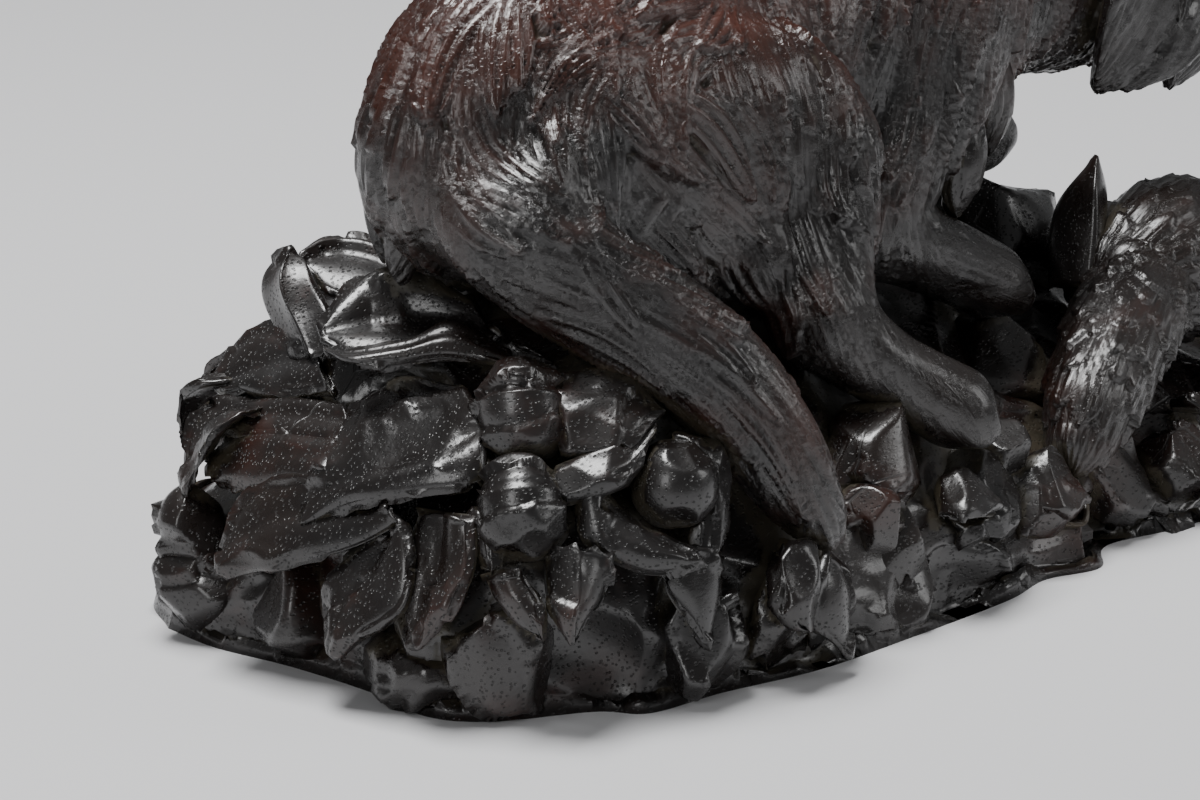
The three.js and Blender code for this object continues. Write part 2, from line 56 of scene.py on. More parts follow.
# Each row is one station: x, y, z, half width, half height.
TRUNK = [
    (-80, 0, 71, 13, 17), (-68, 0, 74, 18.5, 25), (-50, 0, 76, 20, 27), (-30, 0, 76, 18.5, 26),
    (-10, 0, 76, 19, 26), (6, 0, 77, 20, 27), (19, 0, 78, 18, 24),
]
NECK = [
    (14, 0, 82, 17, 19), (30, 0, 80, 15, 18), (44, -1, 77.5, 12.5, 15.5),
    (55, -2, 75.5, 12, 14), (64, -3, 75, 12, 12.5),
]
RIGHT_THIGH = [
    (-64, -9, 72, 15, 20), (-48, -14, 69, 13, 20), (-35, -18, 69, 10, 16), (-25, -20, 66.5, 8, 11.5),
]
THIGH_FRONT = [
    (-36, -18, 83, 4, 4), (-28.5, -21.5, 78.5, 4.6, 4.6), (-25.5, -24, 70, 4.8, 4.8), (-26.5, -25, 61, 5, 5),
]
RIGHT_SHANK = [(-25, -22, 66, 8, 9), (-28.5, -25, 56, 7.8, 8), (-32.5, -28.5, 46.5, 7.6, 7.2)]
RIGHT_HIND_FOOT = [
    (-33.5, -29.5, 44, 7.8, 7.2), (-27, -33.5, 37.5, 6.2, 6), (-20.5, -37, 32.5, 6.2, 6),
    (-15, -40, 28.5, 7.2, 6.6),
]
LEFT_THIGH = [(-64, 10, 73, 15, 19), (-48, 15, 68, 13, 17), (-36, 18, 63, 10, 13)]
LEFT_HIND_FOOT = [(-42, 20, 55, 7, 7), (-28, 28, 46, 6, 5.5), (-14, 33, 38, 6.4, 5)]
RIGHT_SHOULDER = [(18, -10, 84, 10, 16), (9, -13, 70, 9.5, 14), (-6, -15, 56, 9, 9)]
RIGHT_FORELEG = [
    (-14, -16, 51, 7, 7), (-2, -17.5, 47, 6.5, 6.4), (9, -18.5, 41.5, 6.4, 6.2), (17, -19.5, 37, 7.2, 6.2),
]
LEFT_SHOULDER = [(20, 11, 84, 10, 16), (14, 14, 70, 9.5, 13), (8, 15, 57, 8.5, 9)]
LEFT_FORELEG = [
    (2, 15, 53, 7, 7), (18, 9, 53, 6.6, 6.4), (32, 3, 52, 6.4, 6.2), (40, -1, 52, 7, 6.4),
]
TAIL = [
    (-74, -2, 70, 8, 9), (-83, -9, 67, 7.5, 8.5), (-81, -18, 62, 7.4, 9), (-74.5, -26.5, 55, 6.4, 8.6),
    (-67.5, -34, 48, 5.8, 8.2), (-61.5, -40.5, 39.5, 5.2, 7), (-57.5, -44.5, 30.5, 4.6, 5.8),
    (-53.5, -47.2, 22.5, 3.2, 3.6), (-51.2, -48, 18.5, 1.2, 1.4),
]
# Swellings and hollows: centre, half sizes, turn, how far they run in, and 1 to add or -1 to cut.
SWELLINGS = [
    ((-52, -12, 56), (22, 12.5, 11), -0.05, 4, 1), ((-52, 13, 56), (20, 12.5, 11), 0.05, 4, 1),
    ((-75, -17, 69), (9, 6, 10), 0.4, 4, 1), ((-41, -23, 53.5), (5.5, 6, 7), 0.0, 2.5, 1),
    ((-50, -30.5, 73), (11, 4, 11), 0.1, 4, -1),
]
# Which way the hair lies: a place on the coat and the way it points there.
HAIR_WAYS = [
    (-78, 0, 96, -0.8, 0, -0.4), (-50, 0, 104, -1, 0, 0), (-10, 0, 103, -1, 0, 0), (20, 0, 102, -1, 0, 0),
    (45, 0, 94, -1, 0, 0.1), (-93, 6, 76, 0, 0, -1), (-88, 4, 56, 0, -0.2, -1), (-74, 16, 78, 0.15, 0, -1),
    (-70, 18, 62, 0.4, 0, -1), (-52, 20, 92, 0.1, 0, -1), (-45, 24, 74, 0.45, 0, -1),
    (-30, 24, 78, 0.35, 0, -1), (-24, 24, 66, -0.1, 0, -1), (-12, 20, 82, -0.8, 0, -0.7),
    (-12, -20, 84, -0.6, 0, -0.8), (-6, 20, 62, -0.7, 0, -0.9), (-8, -20, 62, -0.5, 0, -0.9),
    (12, 20, 84, -0.5, 0, -1), (12, -20, 84, -0.5, 0, -1), (36, 15, 80, -0.4, 0, -1),
    (36, -15, 80, -0.4, 0, -1), (56, 12, 76, -0.5, 0, -1), (56, -12, 76, -0.5, 0, -1),
    (36, 0, 66, -0.2, 0, -1), (50, 0, 62, -0.8, 0, -0.4), (20, 14, 50, 1, -0.3, 0),
    (5, -20, 46, 0.9, 0, -0.4),
]
# Where locks run in the photograph: the pixel across and down where each stroke
# starts, then where it ends.
STROKES = [
    (403, 56, 380, 109), (377, 133, 373, 199), (380, 206, 393, 232), (410, 126, 400, 186),
    (400, 186, 403, 225), (413, 199, 418, 239), (440, 20, 426, 66), (440, 90, 430, 130),
    (473, 143, 493, 169), (493, 139, 512, 179), (512, 143, 526, 186), (522, 113, 531, 133),
    (546, 133, 552, 206), (556, 110, 569, 159), (575, 86, 572, 129), (539, 166, 556, 216),
    (572, 159, 575, 206), (585, 169, 605, 225), (612, 83, 635, 116), (625, 133, 642, 156),
    (648, 153, 688, 186), (629, 176, 658, 189), (639, 196, 668, 229), (668, 192, 725, 239),
    (725, 239, 768, 265), (662, 103, 688, 133), (731, 106, 758, 143), (751, 30, 775, 66),
    (775, 66, 788, 109), (781, 33, 808, 73), (808, 73, 824, 109), (824, 109, 824, 159),
    (804, 33, 838, 83), (838, 83, 851, 139), (851, 139, 854, 199), (824, 186, 841, 225),
    (841, 225, 857, 265), (791, 240, 788, 280), (791, 298, 791, 332), (818, 259, 838, 285),
    (838, 285, 864, 318), (807, 300, 815, 335), (725, 20, 675, 27), (675, 27, 642, 46),
    (642, 46, 599, 46), (599, 46, 560, 50), (572, 20, 592, 33), (658, 43, 642, 73), (500, 30, 490, 70),
    (520, 60, 525, 100), (483, 189, 513, 199), (476, 219, 516, 232), (509, 239, 579, 252),
    (532, 265, 635, 289), (499, 285, 622, 308), (519, 315, 648, 335), (675, 279, 718, 298),
    (718, 298, 751, 328), (453, 255, 463, 285), (436, 159, 440, 212), (440, 212, 459, 265),
    (751, 328, 790, 380), (790, 380, 825, 450), (825, 450, 832, 520), (700, 360, 760, 430),
    (760, 430, 810, 510), (905, 60, 890, 120), (940, 80, 930, 150), (880, 20, 870, 80),
    (960, 30, 950, 90), (980, 110, 1010, 130), (700, 200, 740, 230), (745, 220, 765, 300),
]
# A stroke whose ends lie further apart than this, in mm, has run on to another limb.
LONGEST_STROKE = 18
# A camera in the place of the photograph's, estimated from the picture, in mm: where it aims, how
# it is turned, how far off it stands and how wide its picture of 1200 by 800 pixels is there.
AIM = np.array([-75.0, -25.0, 40.0])
AZIMUTH, ELEVATION = math.radians(-46), math.radians(18)
DISTANCE = 700.0
FRAME_WIDTH = 170.0
PIXEL_WIDTH = FRAME_WIDTH / 1200
BACK = np.array([math.sin(AZIMUTH) * math.cos(ELEVATION), -math.cos(AZIMUTH) * math.cos(ELEVATION),
                 math.sin(ELEVATION)])
SIDE = np.array([math.cos(AZIMUTH), math.sin(AZIMUTH), 0.0])
OVER = np.cross(BACK, SIDE)
# Where the wood is left smooth: a place, how far round it, and how fully.
BARE = [
    ((-29, -34, 40), 7, 0.7), ((-22, -37, 34), 9, 1.0), ((-15, -40, 28), 11, 1.0),
    ((2, -19, 46), 8, 0.8), ((16, -20, 37), 11, 1.0), ((-35, 24, 50), 11, 0.9),
    ((-18, 32, 41), 12, 1.0), ((20, 9, 53), 9, 0.9), ((40, -1, 52), 11, 1.0),
]


def spline(rows, steps):
    """Rows of numbers a, b, c, d carried along a smooth curve: between b and c the row at t is
    half of 2b + (c - a) t + (2a - 5b + 4c - d) t^2 + (3b - a - 3c + d) t^3."""
    rows = np.asarray(rows, float)
    ends = np.vstack([2 * rows[0] - rows[1], rows, 2 * rows[-1] - rows[-2]])
    t = (np.arange(steps) / steps)[:, None]
    made = [
        0.5 * (2 * b + (c - a) * t + (2 * a - 5 * b + 4 * c - d) * t**2
               + (3 * b - a - 3 * c + d) * t**3)
        for a, b, c, d in zip(ends[:-3], ends[1:-2], ends[2:-1], ends[3:])
    ]
    return np.vstack(made + [rows[-1:]])


def unit(way):
    """A direction, or a row of them, at length 1."""
    return way / np.maximum(np.linalg.norm(way, axis=-1, keepdims=True), 1e-9)


def limb_distance(points, rows):
    """Distance in mm outside a limb's skin. Off each short stretch of its axis the offset is
    measured in half widths and half heights, q = |offset / half sizes|, and the distance is
    |offset| (1 - 1/q); the nearest stretch counts."""
    path = spline(rows, 4)
    best = np.full(len(points), 1e3, np.float32)
    for a, b in zip(path[:-1], path[1:]):
        line = b[:3] - a[:3]
        ahead = unit(line)
        across = unit(np.cross(ahead, UP))
        over = np.cross(across, ahead)
        t = np.clip((points - a[:3]) @ line / (line @ line), 0, 1)
        off = points - a[:3] - t[:, None] * line + 1e-3
        wide = a[3] + t * (b[3] - a[3])
        high = a[4] + t * (b[4] - a[4])
        turned = np.stack([off @ across / wide, off @ over / high,
                           off @ ahead / np.minimum(wide, high)], 1)
        best = np.minimum(best, np.linalg.norm(off, axis=1) * (1 - 1 / np.linalg.norm(turned, axis=1)))
    return best


def egg_distance(points, centre, halves, turn=0.0, tilt=0.0):
    """Distance in mm outside an egg, |offset| (1 - 1/q) with q the offset in its half sizes,
    after the egg is tilted about Y and turned about Z."""
    ahead = np.array([math.cos(turn) * math.cos(tilt), math.sin(turn) * math.cos(tilt), -math.sin(tilt)])
    side = np.array([-math.sin(turn), math.cos(turn), 0.0])
    off = points - np.array(centre) + 1e-3
    turned = np.stack([off @ ahead, off @ side, off @ np.cross(ahead, side)], 1) / np.array(halves)
    return np.linalg.norm(off, axis=1) * (1 - 1 / np.linalg.norm(turned, axis=1))


def new_block(low, high, pitch):
    """A block of wood to shape: a grid of distances to the skin, all outside it at first. It is
    roughed out at three times the pitch."""
    count = np.ceil((high - low) / (ROUGH * pitch)).astype(int) + 1
    return {"low": low, "pitch": ROUGH * pitch, "field": np.full(count, 20.0, np.float32)}


def refine(block):
    """Brings a roughed block to its fine pitch: straight between the rough values, then each
    value is made the mean of itself and its two neighbours, twice along each axis."""
    field = block["field"]
    for axis in range(3):
        field = np.moveaxis(field, axis, 0)
        a, b = field[:-1], field[1:]
        steps = [a + (b - a) * np.float32(k / ROUGH) for k in range(ROUGH)]
        field = np.stack(steps, 1).reshape(-1, *a.shape[1:])
        for _ in range(2):
            field[1:-1] = (field[:-2] + field[1:-1] + field[2:]) / 3
        field = np.moveaxis(field, 0, axis)
    block["field"] = np.ascontiguousarray(field)
    block["pitch"] /= ROUGH


def run_in(block, low, high, distance, blend, sign=1.0):
    """Runs a form into the block, within low and high. With a and b the two distances and
    h = clip(1/2 + (b - a) / 2k), the new distance is b + (a - b) h - k h (1 - h), so the join
    is a hollow of radius about k. With sign -1 the form is cut away instead."""
    margin = blend + 2.0
    start = np.floor((np.array(low) - margin - block["low"]) / block["pitch"]).astype(int)
    stop = np.ceil((np.array(high) + margin - block["low"]) / block["pitch"]).astype(int)
    start = np.clip(start, 0, block["field"].shape)
    stop = np.clip(stop, 0, block["field"].shape)
    if np.any(stop <= start):
        return
    axes = [block["low"][i] + block["pitch"] * np.arange(start[i], stop[i]) for i in range(3)]
    points = np.stack(np.meshgrid(*axes, indexing="ij"), -1).reshape(-1, 3).astype(np.float32)
    room = tuple(slice(a, b) for a, b in zip(start, stop))
    old = sign * block["field"][room]
    new = distance(points).reshape(old.shape)
    share = np.clip(0.5 + (old - new) / (2 * blend), 0, 1)
    block["field"][room] = sign * (old + (new - old) * share - blend * share * (1 - share))


def add_limb(block, rows, blend):
    """Runs a rounded limb into the block."""
    path = spline(rows, 4)
    reach = path[:, 3:].max(1, keepdims=True)
    run_in(block, (path[:, :3] - reach).min(0), (path[:, :3] + reach).max(0),
           lambda points: limb_distance(points, rows), blend)


def add_egg(block, centre, halves, turn=0.0, tilt=0.0, blend=2.0, sign=1.0):
    """Runs an egg into the block, or cuts its hollow with sign -1."""
    reach = max(halves)
    run_in(block, np.array(centre) - reach, np.array(centre) + reach,
           lambda points: egg_distance(points, centre, halves, turn, tilt), blend, sign)


def skin_of(block, calm=5):
    """The skin of a block as points and four-sided faces. Every cell that the skin crosses holds
    one point, at the mean of the places where the skin cuts the cell's edges, and every grid edge
    that it crosses makes a face of the four cells round it. The points are then calmed: each
    moves half way to the mean of its neighbours, calm times."""
    field = block["field"]
    inside = field < 0
    count = sum(inside[i:field.shape[0] - 1 + i, j:field.shape[1] - 1 + j, k:field.shape[2] - 1 + k]
                .astype(np.int8) for i in (0, 1) for j in (0, 1) for k in (0, 1))
    cell = np.stack(np.nonzero((count > 0) & (count < 8)), 1)
    index = np.full(count.shape, -1, np.int64)
    index[tuple(cell.T)] = np.arange(len(cell))
    total = np.zeros((len(cell), 3))
    hits = np.zeros(len(cell))
    for axis in range(3):
        for du in (0, 1):
            for dv in (0, 1):
                a = np.zeros(3, int)
                a[(axis + 1) % 3] = du
                a[(axis + 2) % 3] = dv
                b = a.copy()
                b[axis] = 1
                first = field[tuple((cell + a).T)]
                second = field[tuple((cell + b).T)]
                cuts = (first < 0) != (second < 0)
                t = np.where(cuts, first / np.where(cuts, first - second, 1), 0)
                place = a + t[:, None] * (b - a)
                total[cuts] += place[cuts]
                hits[cuts] += 1
    points = (cell + total / hits[:, None]) * block["pitch"] + block["low"]
    faces = []
    for axis in range(3):
        near = [slice(1, -1)] * 3
        near[axis] = slice(0, -1)
        far = list(near)
        far[axis] = slice(1, None)
        starts = inside[tuple(near)]
        at = np.stack(np.nonzero(starts != inside[tuple(far)]), 1)
        inward = starts[tuple(at.T)]
        lift = np.ones(3, int)
        lift[axis] = 0
        at = at + lift
        u = np.zeros(3, int)
        u[(axis + 1) % 3] = 1
        v = np.zeros(3, int)
        v[(axis + 2) % 3] = 1
        ring = np.stack([index[tuple((at - step).T)] for step in (u + v, v, 0 * u, u)], 1)
        faces.append(np.where(inward[:, None], ring, ring[:, ::-1]))
    faces = np.vstack(faces)
    for _ in range(calm):
        points = 0.5 * points + 0.5 * neighbours_mean(points, faces)
    return points, faces


def neighbours_mean(values, faces):
    """For each point, the mean of the values at the points it shares an edge with."""
    total = np.zeros_like(values)
    share = np.zeros(len(values))
    for i in range(4):
        a, b = faces[:, i], faces[:, (i + 1) % 4]
        for p, q in ((a, b), (b, a)):
            share += np.bincount(p, minlength=len(values))
            for axis in range(values.shape[1]):
                total[:, axis] += np.bincount(p, values[q, axis], len(values))
    return total / np.maximum(share, 1)[:, None]


def normals_of(points, faces):
    """Each point's way out: the sum of the crossed diagonals of the faces round it."""
    a, b, c, d = (points[faces[:, i]] for i in range(4))
    square = np.cross(c - a, d - b)
    total = np.zeros_like(points)
    for i in range(4):
        for axis in range(3):
            total[:, axis] += np.bincount(faces[:, i], square[:, axis], len(points))
    return unit(total)


def flat_way(way, normals):
    """A way laid flat on the skin: way - (way . normal) normal, at length 1."""
    return unit(way - (way * normals).sum(1, keepdims=True) * normals)


def as_seen(picks):
    """Places in mm of points picked in the photograph, each as its pixel across and down and how
    far nearer the camera than AIM it lies: AIM + near BACK + (DISTANCE - near) / DISTANCE times
    ((across - 600) SIDE - (down - 400) OVER) pixels."""
    across, down, near = np.moveaxis(np.asarray(picks, float)[..., None], -2, 0)
    spread = (DISTANCE - near) / DISTANCE * PIXEL_WIDTH
    return AIM + near * BACK + spread * ((across - 600) * SIDE - (down - 400) * OVER)


def on_coat(pixels):
    """Where the line of sight through each pixel first comes within 0.6 mm of the dog's limbs,
    in steps of half a mm away from the camera. A line that meets none of them gives no number."""
    near = np.arange(140.0, -160.0, -0.5)
    lines = np.empty((len(pixels), len(near), 3))
    lines[..., :2] = pixels[:, None]
    lines[..., 2] = near
    lines = as_seen(lines)
    limbs = (TRUNK, NECK, RIGHT_THIGH, RIGHT_SHANK, RIGHT_HIND_FOOT, RIGHT_SHOULDER, RIGHT_FORELEG,
             TAIL, LEFT_FORELEG)
    gap = np.min([limb_distance(lines.reshape(-1, 3), rows) for rows in limbs], 0)
    met = gap.reshape(len(pixels), -1) < 0.6
    places = lines[np.arange(len(pixels)), met.argmax(1)]
    return np.where(met.any(1)[:, None], places, np.nan)


def stroke_ways():
    """Each stroke that stays on its limb as a row like those of the table of ways: its middle,
    and the way it runs at length 1."""
    ends = on_coat(np.array(STROKES, float).reshape(-1, 2)).reshape(-1, 2, 3)
    along = ends[:, 1] - ends[:, 0]
    kept = np.linalg.norm(along, axis=1) < LONGEST_STROKE
    return np.hstack([ends.mean(1), unit(along)])[kept]


tail_line = spline(TAIL[1:], 3)[:, :3]
tail_ways = np.hstack([tail_line, 1.3 * unit(np.gradient(tail_line, axis=0))])
all_ways = np.vstack([stroke_ways(), HAIR_WAYS, tail_ways])


def hair_way(points, normals):
    """The way the hair lies at each point: all the ways, each weighed by one over its distance
    to the fourth power, laid flat on the skin."""
    total = np.zeros_like(points)
    for place, way in zip(all_ways[:, :3], all_ways[:, 3:]):
        weight = 1 / (((points - place) ** 2).sum(1) + 6.0) ** 2
        total += weight[:, None] * way
    return flat_way(total, normals)


def picks_over(points, spacing, rng, keep=None):
    """About one point of the skin for each cube of the given spacing, chosen by chance."""
    cube = np.floor((points + rng.uniform(0, spacing, 3)) / spacing).astype(np.int64)
    key = (cube[:, 0] * 4096 + cube[:, 1]) * 4096 + cube[:, 2]
    order = rng.permutation(len(points))
    if keep is not None:
        order = order[keep[order]]
    _, first = np.unique(key[order], return_index=True)
    return order[np.sort(first)]


def lay_locks(points, normals, ways, picks, rng, length, width, strands, rise, cut, blunt=0.0,
              sway=0.3, spread=0.25):
    """Height in mm of overlapping locks cut over a skin, and each point's place across its lock.
    A lock runs a length L along the hair from u = 0 at its root to u = 1 at its tip, and its half
    width is W/2 times 1.75 u^0.5 (1 - u)^0.6, so it ends in a point, or W/2 times
    (1 - (2u - 1)^4) where it is blunt. With s from -1 to 1 across it, its height is
    rise (0.15 + 0.85u) (1 - s^2)^0.5 + cut |sin(pi strands (s + 1) / 2)|^0.7, and where locks
    overlap the highest counts. L, W, the way and how far it stands out are varied by chance."""
    order = np.argsort(points[:, 0])
    spot, out, way = points[order], normals[order], ways[order]
    row = spot[:, 0]
    height = np.zeros(len(points))
    across = np.zeros(len(points))
    for pick in picks:
        centre, top, ahead = points[pick], normals[pick], ways[pick]
        side = np.cross(top, ahead)
        chance = rng.uniform(-1, 1, 8)
        turn = sway * chance[0]
        ahead = math.cos(turn) * ahead + math.sin(turn) * side
        side = np.cross(top, ahead)
        long = length * (1 + spread * chance[1])
        wide = width * (1 + spread * chance[2])
        low, high = np.searchsorted(row, [centre[0] - long, centre[0] + long])
        off = spot[low:high] - centre
        along = off @ ahead
        beside = off @ side
        near = (along > -0.35 * long) & (along < 0.65 * long) & (np.abs(beside) < wide)
        near &= (np.abs(off @ top) < 0.5 * long) & (out[low:high] @ top > 0.2)
        at = low + np.nonzero(near)[0]
        if len(at) < 6:
            continue
        along, beside = along[near], beside[near]
        far = at[np.argmin((along - 0.45 * long) ** 2 + beside**2)]
        bend = math.atan2(way[far] @ side, max(way[far] @ ahead, 0.2)) - 0.6 * turn
        beside = beside - 0.5 * np.clip(bend, -0.9, 0.9) / (0.5 * long) * along**2
        u = np.clip(along / long + 0.35, 0, 1)
        beside = beside + 0.025 * wide * np.sin(5 * u + 6 * chance[3])
        point = 1.75 * u**0.5 * (1 - u) ** 0.6
        dull = 1 - (2 * u - 1) ** 4
        half = 0.5 * wide * ((1 - blunt) * point + blunt * dull) + 1e-6
        s = beside / half
        inside = np.abs(s) < 1
        at, u, s, beside = at[inside], u[inside], s[inside], beside[inside]
        crown = (1 - s**2) ** 0.5
        number = strands + (chance[4] > 0.4) - (chance[4] < -0.5)
        ridge = np.abs(np.sin(np.pi * (0.5 * number * (s + 1) + 0.12 * chance[5]))) ** 0.7
        made = rise * (0.15 + 0.85 * u) * crown * (1 + 0.4 * chance[6])
        made += cut * ridge * np.minimum(1, 2.5 * crown) * (1 + 0.3 * chance[7])
        over = made > height[order[at]]
        height[order[at[over]]] = made[over]
        across[order[at[over]]] = beside[over] + 3.7 * chance[0]
    return height, across


def nodes_and_links(tree):
    """Short hands for adding a node with set values, and for joining two sockets."""
    def add(kind, values=None, **settings):
        node = tree.nodes.new(kind)
        for key, value in settings.items():
            setattr(node, key, value)
        for key, value in (values or {}).items():
            node.inputs[key].default_value = value
        return node
    return add, tree.links.new


def wood_surface():
    """Node group that gives the stained wood's colour, roughness and height from the place, and
    from how hollow and how worn it is there."""
    group = bpy.data.node_groups.new("stained_wood_surface", "ShaderNodeTree")
    for label, value in (("Hollow", 0.0), ("Worn", 0.0), ("Across", 0.0), ("Strands", 0.0),
                         ("Pores", 1.0), ("Dust", 1.0)):
        group.interface.new_socket(label, in_out="INPUT", socket_type="NodeSocketFloat").default_value = value
    group.interface.new_socket("Color", in_out="OUTPUT", socket_type="NodeSocketColor")
    group.interface.new_socket("Roughness", in_out="OUTPUT", socket_type="NodeSocketFloat")
    group.interface.new_socket("Height", in_out="OUTPUT", socket_type="NodeSocketFloat")
    add, link = nodes_and_links(group)
    given = add("NodeGroupInput")
    put = add("NodeGroupOutput")
    place = add("ShaderNodeTexCoord")

    def maths(operation, a, b=None, clamp=False):
        node = add("ShaderNodeMath", operation=operation, use_clamp=clamp)
        for i, value in enumerate((a, b)):
            if isinstance(value, (int, float)):
                node.inputs[i].default_value = value
            elif value is not None:
                link(value, node.inputs[i])
        return node.outputs[0]

    def scaled(stretch):
        mapping = add("ShaderNodeMapping", {"Scale": stretch})
        link(place.outputs["Object"], mapping.inputs["Vector"])
        return mapping.outputs[0]

    def noise(scale, detail=3.0, stretch=(1, 1, 1)):
        node = add("ShaderNodeTexNoise", {"Scale": scale, "Detail": detail, "Roughness": 0.6})
        link(scaled(stretch), node.inputs["Vector"])
        return node.outputs["Fac"]

    def spread(value, low, high):
        node = add("ShaderNodeMapRange", {"From Min": low, "From Max": high})
        link(value, node.inputs["Value"])
        return node.outputs[0]

    def blend(share, a, b):
        node = add("ShaderNodeMix", data_type="RGBA")
        link(share, node.inputs["Factor"])
        for socket, value in ((node.inputs[6], a), (node.inputs[7], b)):
            if isinstance(value, tuple):
                socket.default_value = (*value, 1)
            else:
                link(value, socket)
        return node.outputs[2]

    cloudy = noise(36)
    streaky = noise(80, 4.0, (0.35, 1, 1))
    grain = noise(420, 4.0, (0.14, 1, 1))
    fine = noise(1500, 2.0)
    # Pores: short dark pits along the grain, crowded in some places and few in others.
    cells = add("ShaderNodeTexVoronoi", {"Scale": 1750, "Randomness": 0.9})
    link(scaled((0.6, 1, 1)), cells.inputs["Vector"])
    chance = add("ShaderNodeSeparateColor")
    link(cells.outputs["Color"], chance.inputs[0])
    dots = spread(cells.outputs["Distance"], 0.36, 0.2)
    pit = maths("MULTIPLY", dots, maths("GREATER_THAN", chance.outputs[0], 0.2))
    pit = maths("MULTIPLY", maths("MULTIPLY", pit, spread(streaky, 0.36, 0.5)), given.outputs["Pores"])
    # Drying cracks: the borders of large cells, thin, and only in places.
    shards = add("ShaderNodeTexVoronoi", {"Scale": 95, "Randomness": 1.0}, feature="DISTANCE_TO_EDGE")
    link(scaled((0.5, 1, 1)), shards.inputs["Vector"])
    border = spread(shards.outputs["Distance"], 0.022, 0.006)
    crack = maths("MULTIPLY", border, spread(noise(30, 1.0), 0.56, 0.62))
    crack = maths("MULTIPLY", crack, given.outputs["Pores"])
    # Fine scratches that follow the hair.
    scratches = add("ShaderNodeTexNoise", {"Scale": 2.6, "Detail": 3.0}, noise_dimensions="1D")
    link(given.outputs["Across"], scratches.inputs["W"])
    scratch = maths("MULTIPLY", scratches.outputs["Fac"], given.outputs["Strands"])
    apart = add("ShaderNodeSeparateXYZ")
    link(place.outputs["Object"], apart.inputs[0])
    high = maths("MULTIPLY", spread(apart.outputs[2], 0.072, 0.098), 0.3)
    red = maths("ADD", maths("MULTIPLY", streaky, 0.55), maths("MULTIPLY", cloudy, 0.5))
    red = maths("ADD", maths("ADD", red, high), maths("MULTIPLY", given.outputs["Worn"], 0.1))
    dark = blend(spread(cloudy, 0.35, 0.68), (0.0052, 0.0040, 0.0038), (0.0125, 0.0078, 0.0062))
    wood = blend(maths("MULTIPLY", spread(red, 0.56, 0.92), 0.9), dark, (0.056, 0.0135, 0.0068))
    wood = blend(maths("MULTIPLY", maths("MAXIMUM", pit, crack), 0.85), wood, (0.0025, 0.002, 0.0018))
    dusty = maths("ADD", maths("MULTIPLY", given.outputs["Hollow"], 0.8),
                  maths("ADD", maths("MULTIPLY", fine, 0.35), maths("MULTIPLY", cloudy, 0.7)))
    dusty = maths("MULTIPLY", spread(dusty, 1.02, 1.5), given.outputs["Dust"], True)
    link(blend(maths("MULTIPLY", dusty, 0.6), wood, (0.080, 0.066, 0.036)), put.inputs["Color"])
    rough = maths("ADD", 0.20, maths("MULTIPLY", grain, 0.14))
    rough = maths("ADD", rough, maths("MULTIPLY", spread(streaky, 0.45, 0.65), 0.10))
    rough = maths("ADD", rough, maths("MULTIPLY", dusty, 0.4))
    rough = maths("ADD", rough, maths("MULTIPLY", maths("MAXIMUM", pit, crack), 0.5), True)
    link(rough, put.inputs["Roughness"])
    height = maths("ADD", maths("MULTIPLY", grain, 0.55), maths("MULTIPLY", fine, 0.3))
    height = maths("ADD", height, maths("MULTIPLY", scratch, 0.8))
    height = maths("SUBTRACT", height, maths("MULTIPLY", maths("MAXIMUM", pit, crack), 1.5))
    link(height, put.inputs["Height"])
    return group


surface = wood_surface()


def stained_wood(name, strands, pores, dust):
    """The wood of one kind of piece: the shared surface with its own share of strands, pores and
    dust, under a rubbed shine."""
    material = bpy.data.materials.new(name)
    material.use_nodes = True
    tree = material.node_tree
    tree.nodes.clear()
    add, link = nodes_and_links(tree)
    group = add("ShaderNodeGroup", node_tree=surface)
    for label, value in (("Strands", strands), ("Pores", pores), ("Dust", dust)):
        group.inputs[label].default_value = value
    for label in ("Hollow", "Worn", "Across"):
        mark = add("ShaderNodeAttribute", attribute_name=label.lower())
        link(mark.outputs["Fac"], group.inputs[label])
    shader = add("ShaderNodeBsdfPrincipled", {"IOR": 1.6, "Coat Weight": 0.3, "Coat Roughness": 0.16})
    bump = add("ShaderNodeBump", {"Strength": 0.6, "Distance": 0.00022})
    link(group.outputs["Height"], bump.inputs["Height"])
    link(group.outputs["Color"], shader.inputs["Base Color"])
    link(group.outputs["Roughness"], shader.inputs["Roughness"])
    link(bump.outputs["Normal"], shader.inputs["Normal"])
    link(shader.outputs[0], add("ShaderNodeOutputMaterial").inputs["Surface"])
    return material


def make_piece(name, points, faces, material, **marks):
    """A closed mesh object at the origin, with its place in its mesh and a value for each point
    under each mark's name. A face that names a corner twice is a triangle."""
    corner = faces != np.roll(faces, 1, 1)
    counts = corner.sum(1)
    mesh = bpy.data.meshes.new(name)
    mesh.vertices.add(len(points))
    mesh.vertices.foreach_set("co", (points * MM).astype(np.float32).ravel())
    mesh.loops.add(int(counts.sum()))
    mesh.loops.foreach_set("vertex_index", faces[corner].astype(np.int32))
    mesh.polygons.add(len(faces))
    mesh.polygons.foreach_set("loop_start", np.concatenate([[0], np.cumsum(counts)[:-1]]).astype(np.int32))
    mesh.update(calc_edges=True)
    mesh.validate()
    mesh.shade_smooth()
    for mark in ("hollow", "across", "worn"):
        values = marks.get(mark, np.zeros(len(points)))
        mesh.attributes.new(mark, "FLOAT", "POINT").data.foreach_set("value", values.astype(np.float32))
    mesh.materials.append(material)
    piece = bpy.data.objects.new(name, mesh)
    bpy.context.scene.collection.objects.link(piece)
    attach(piece, "root")
    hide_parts("carved_dog_group")


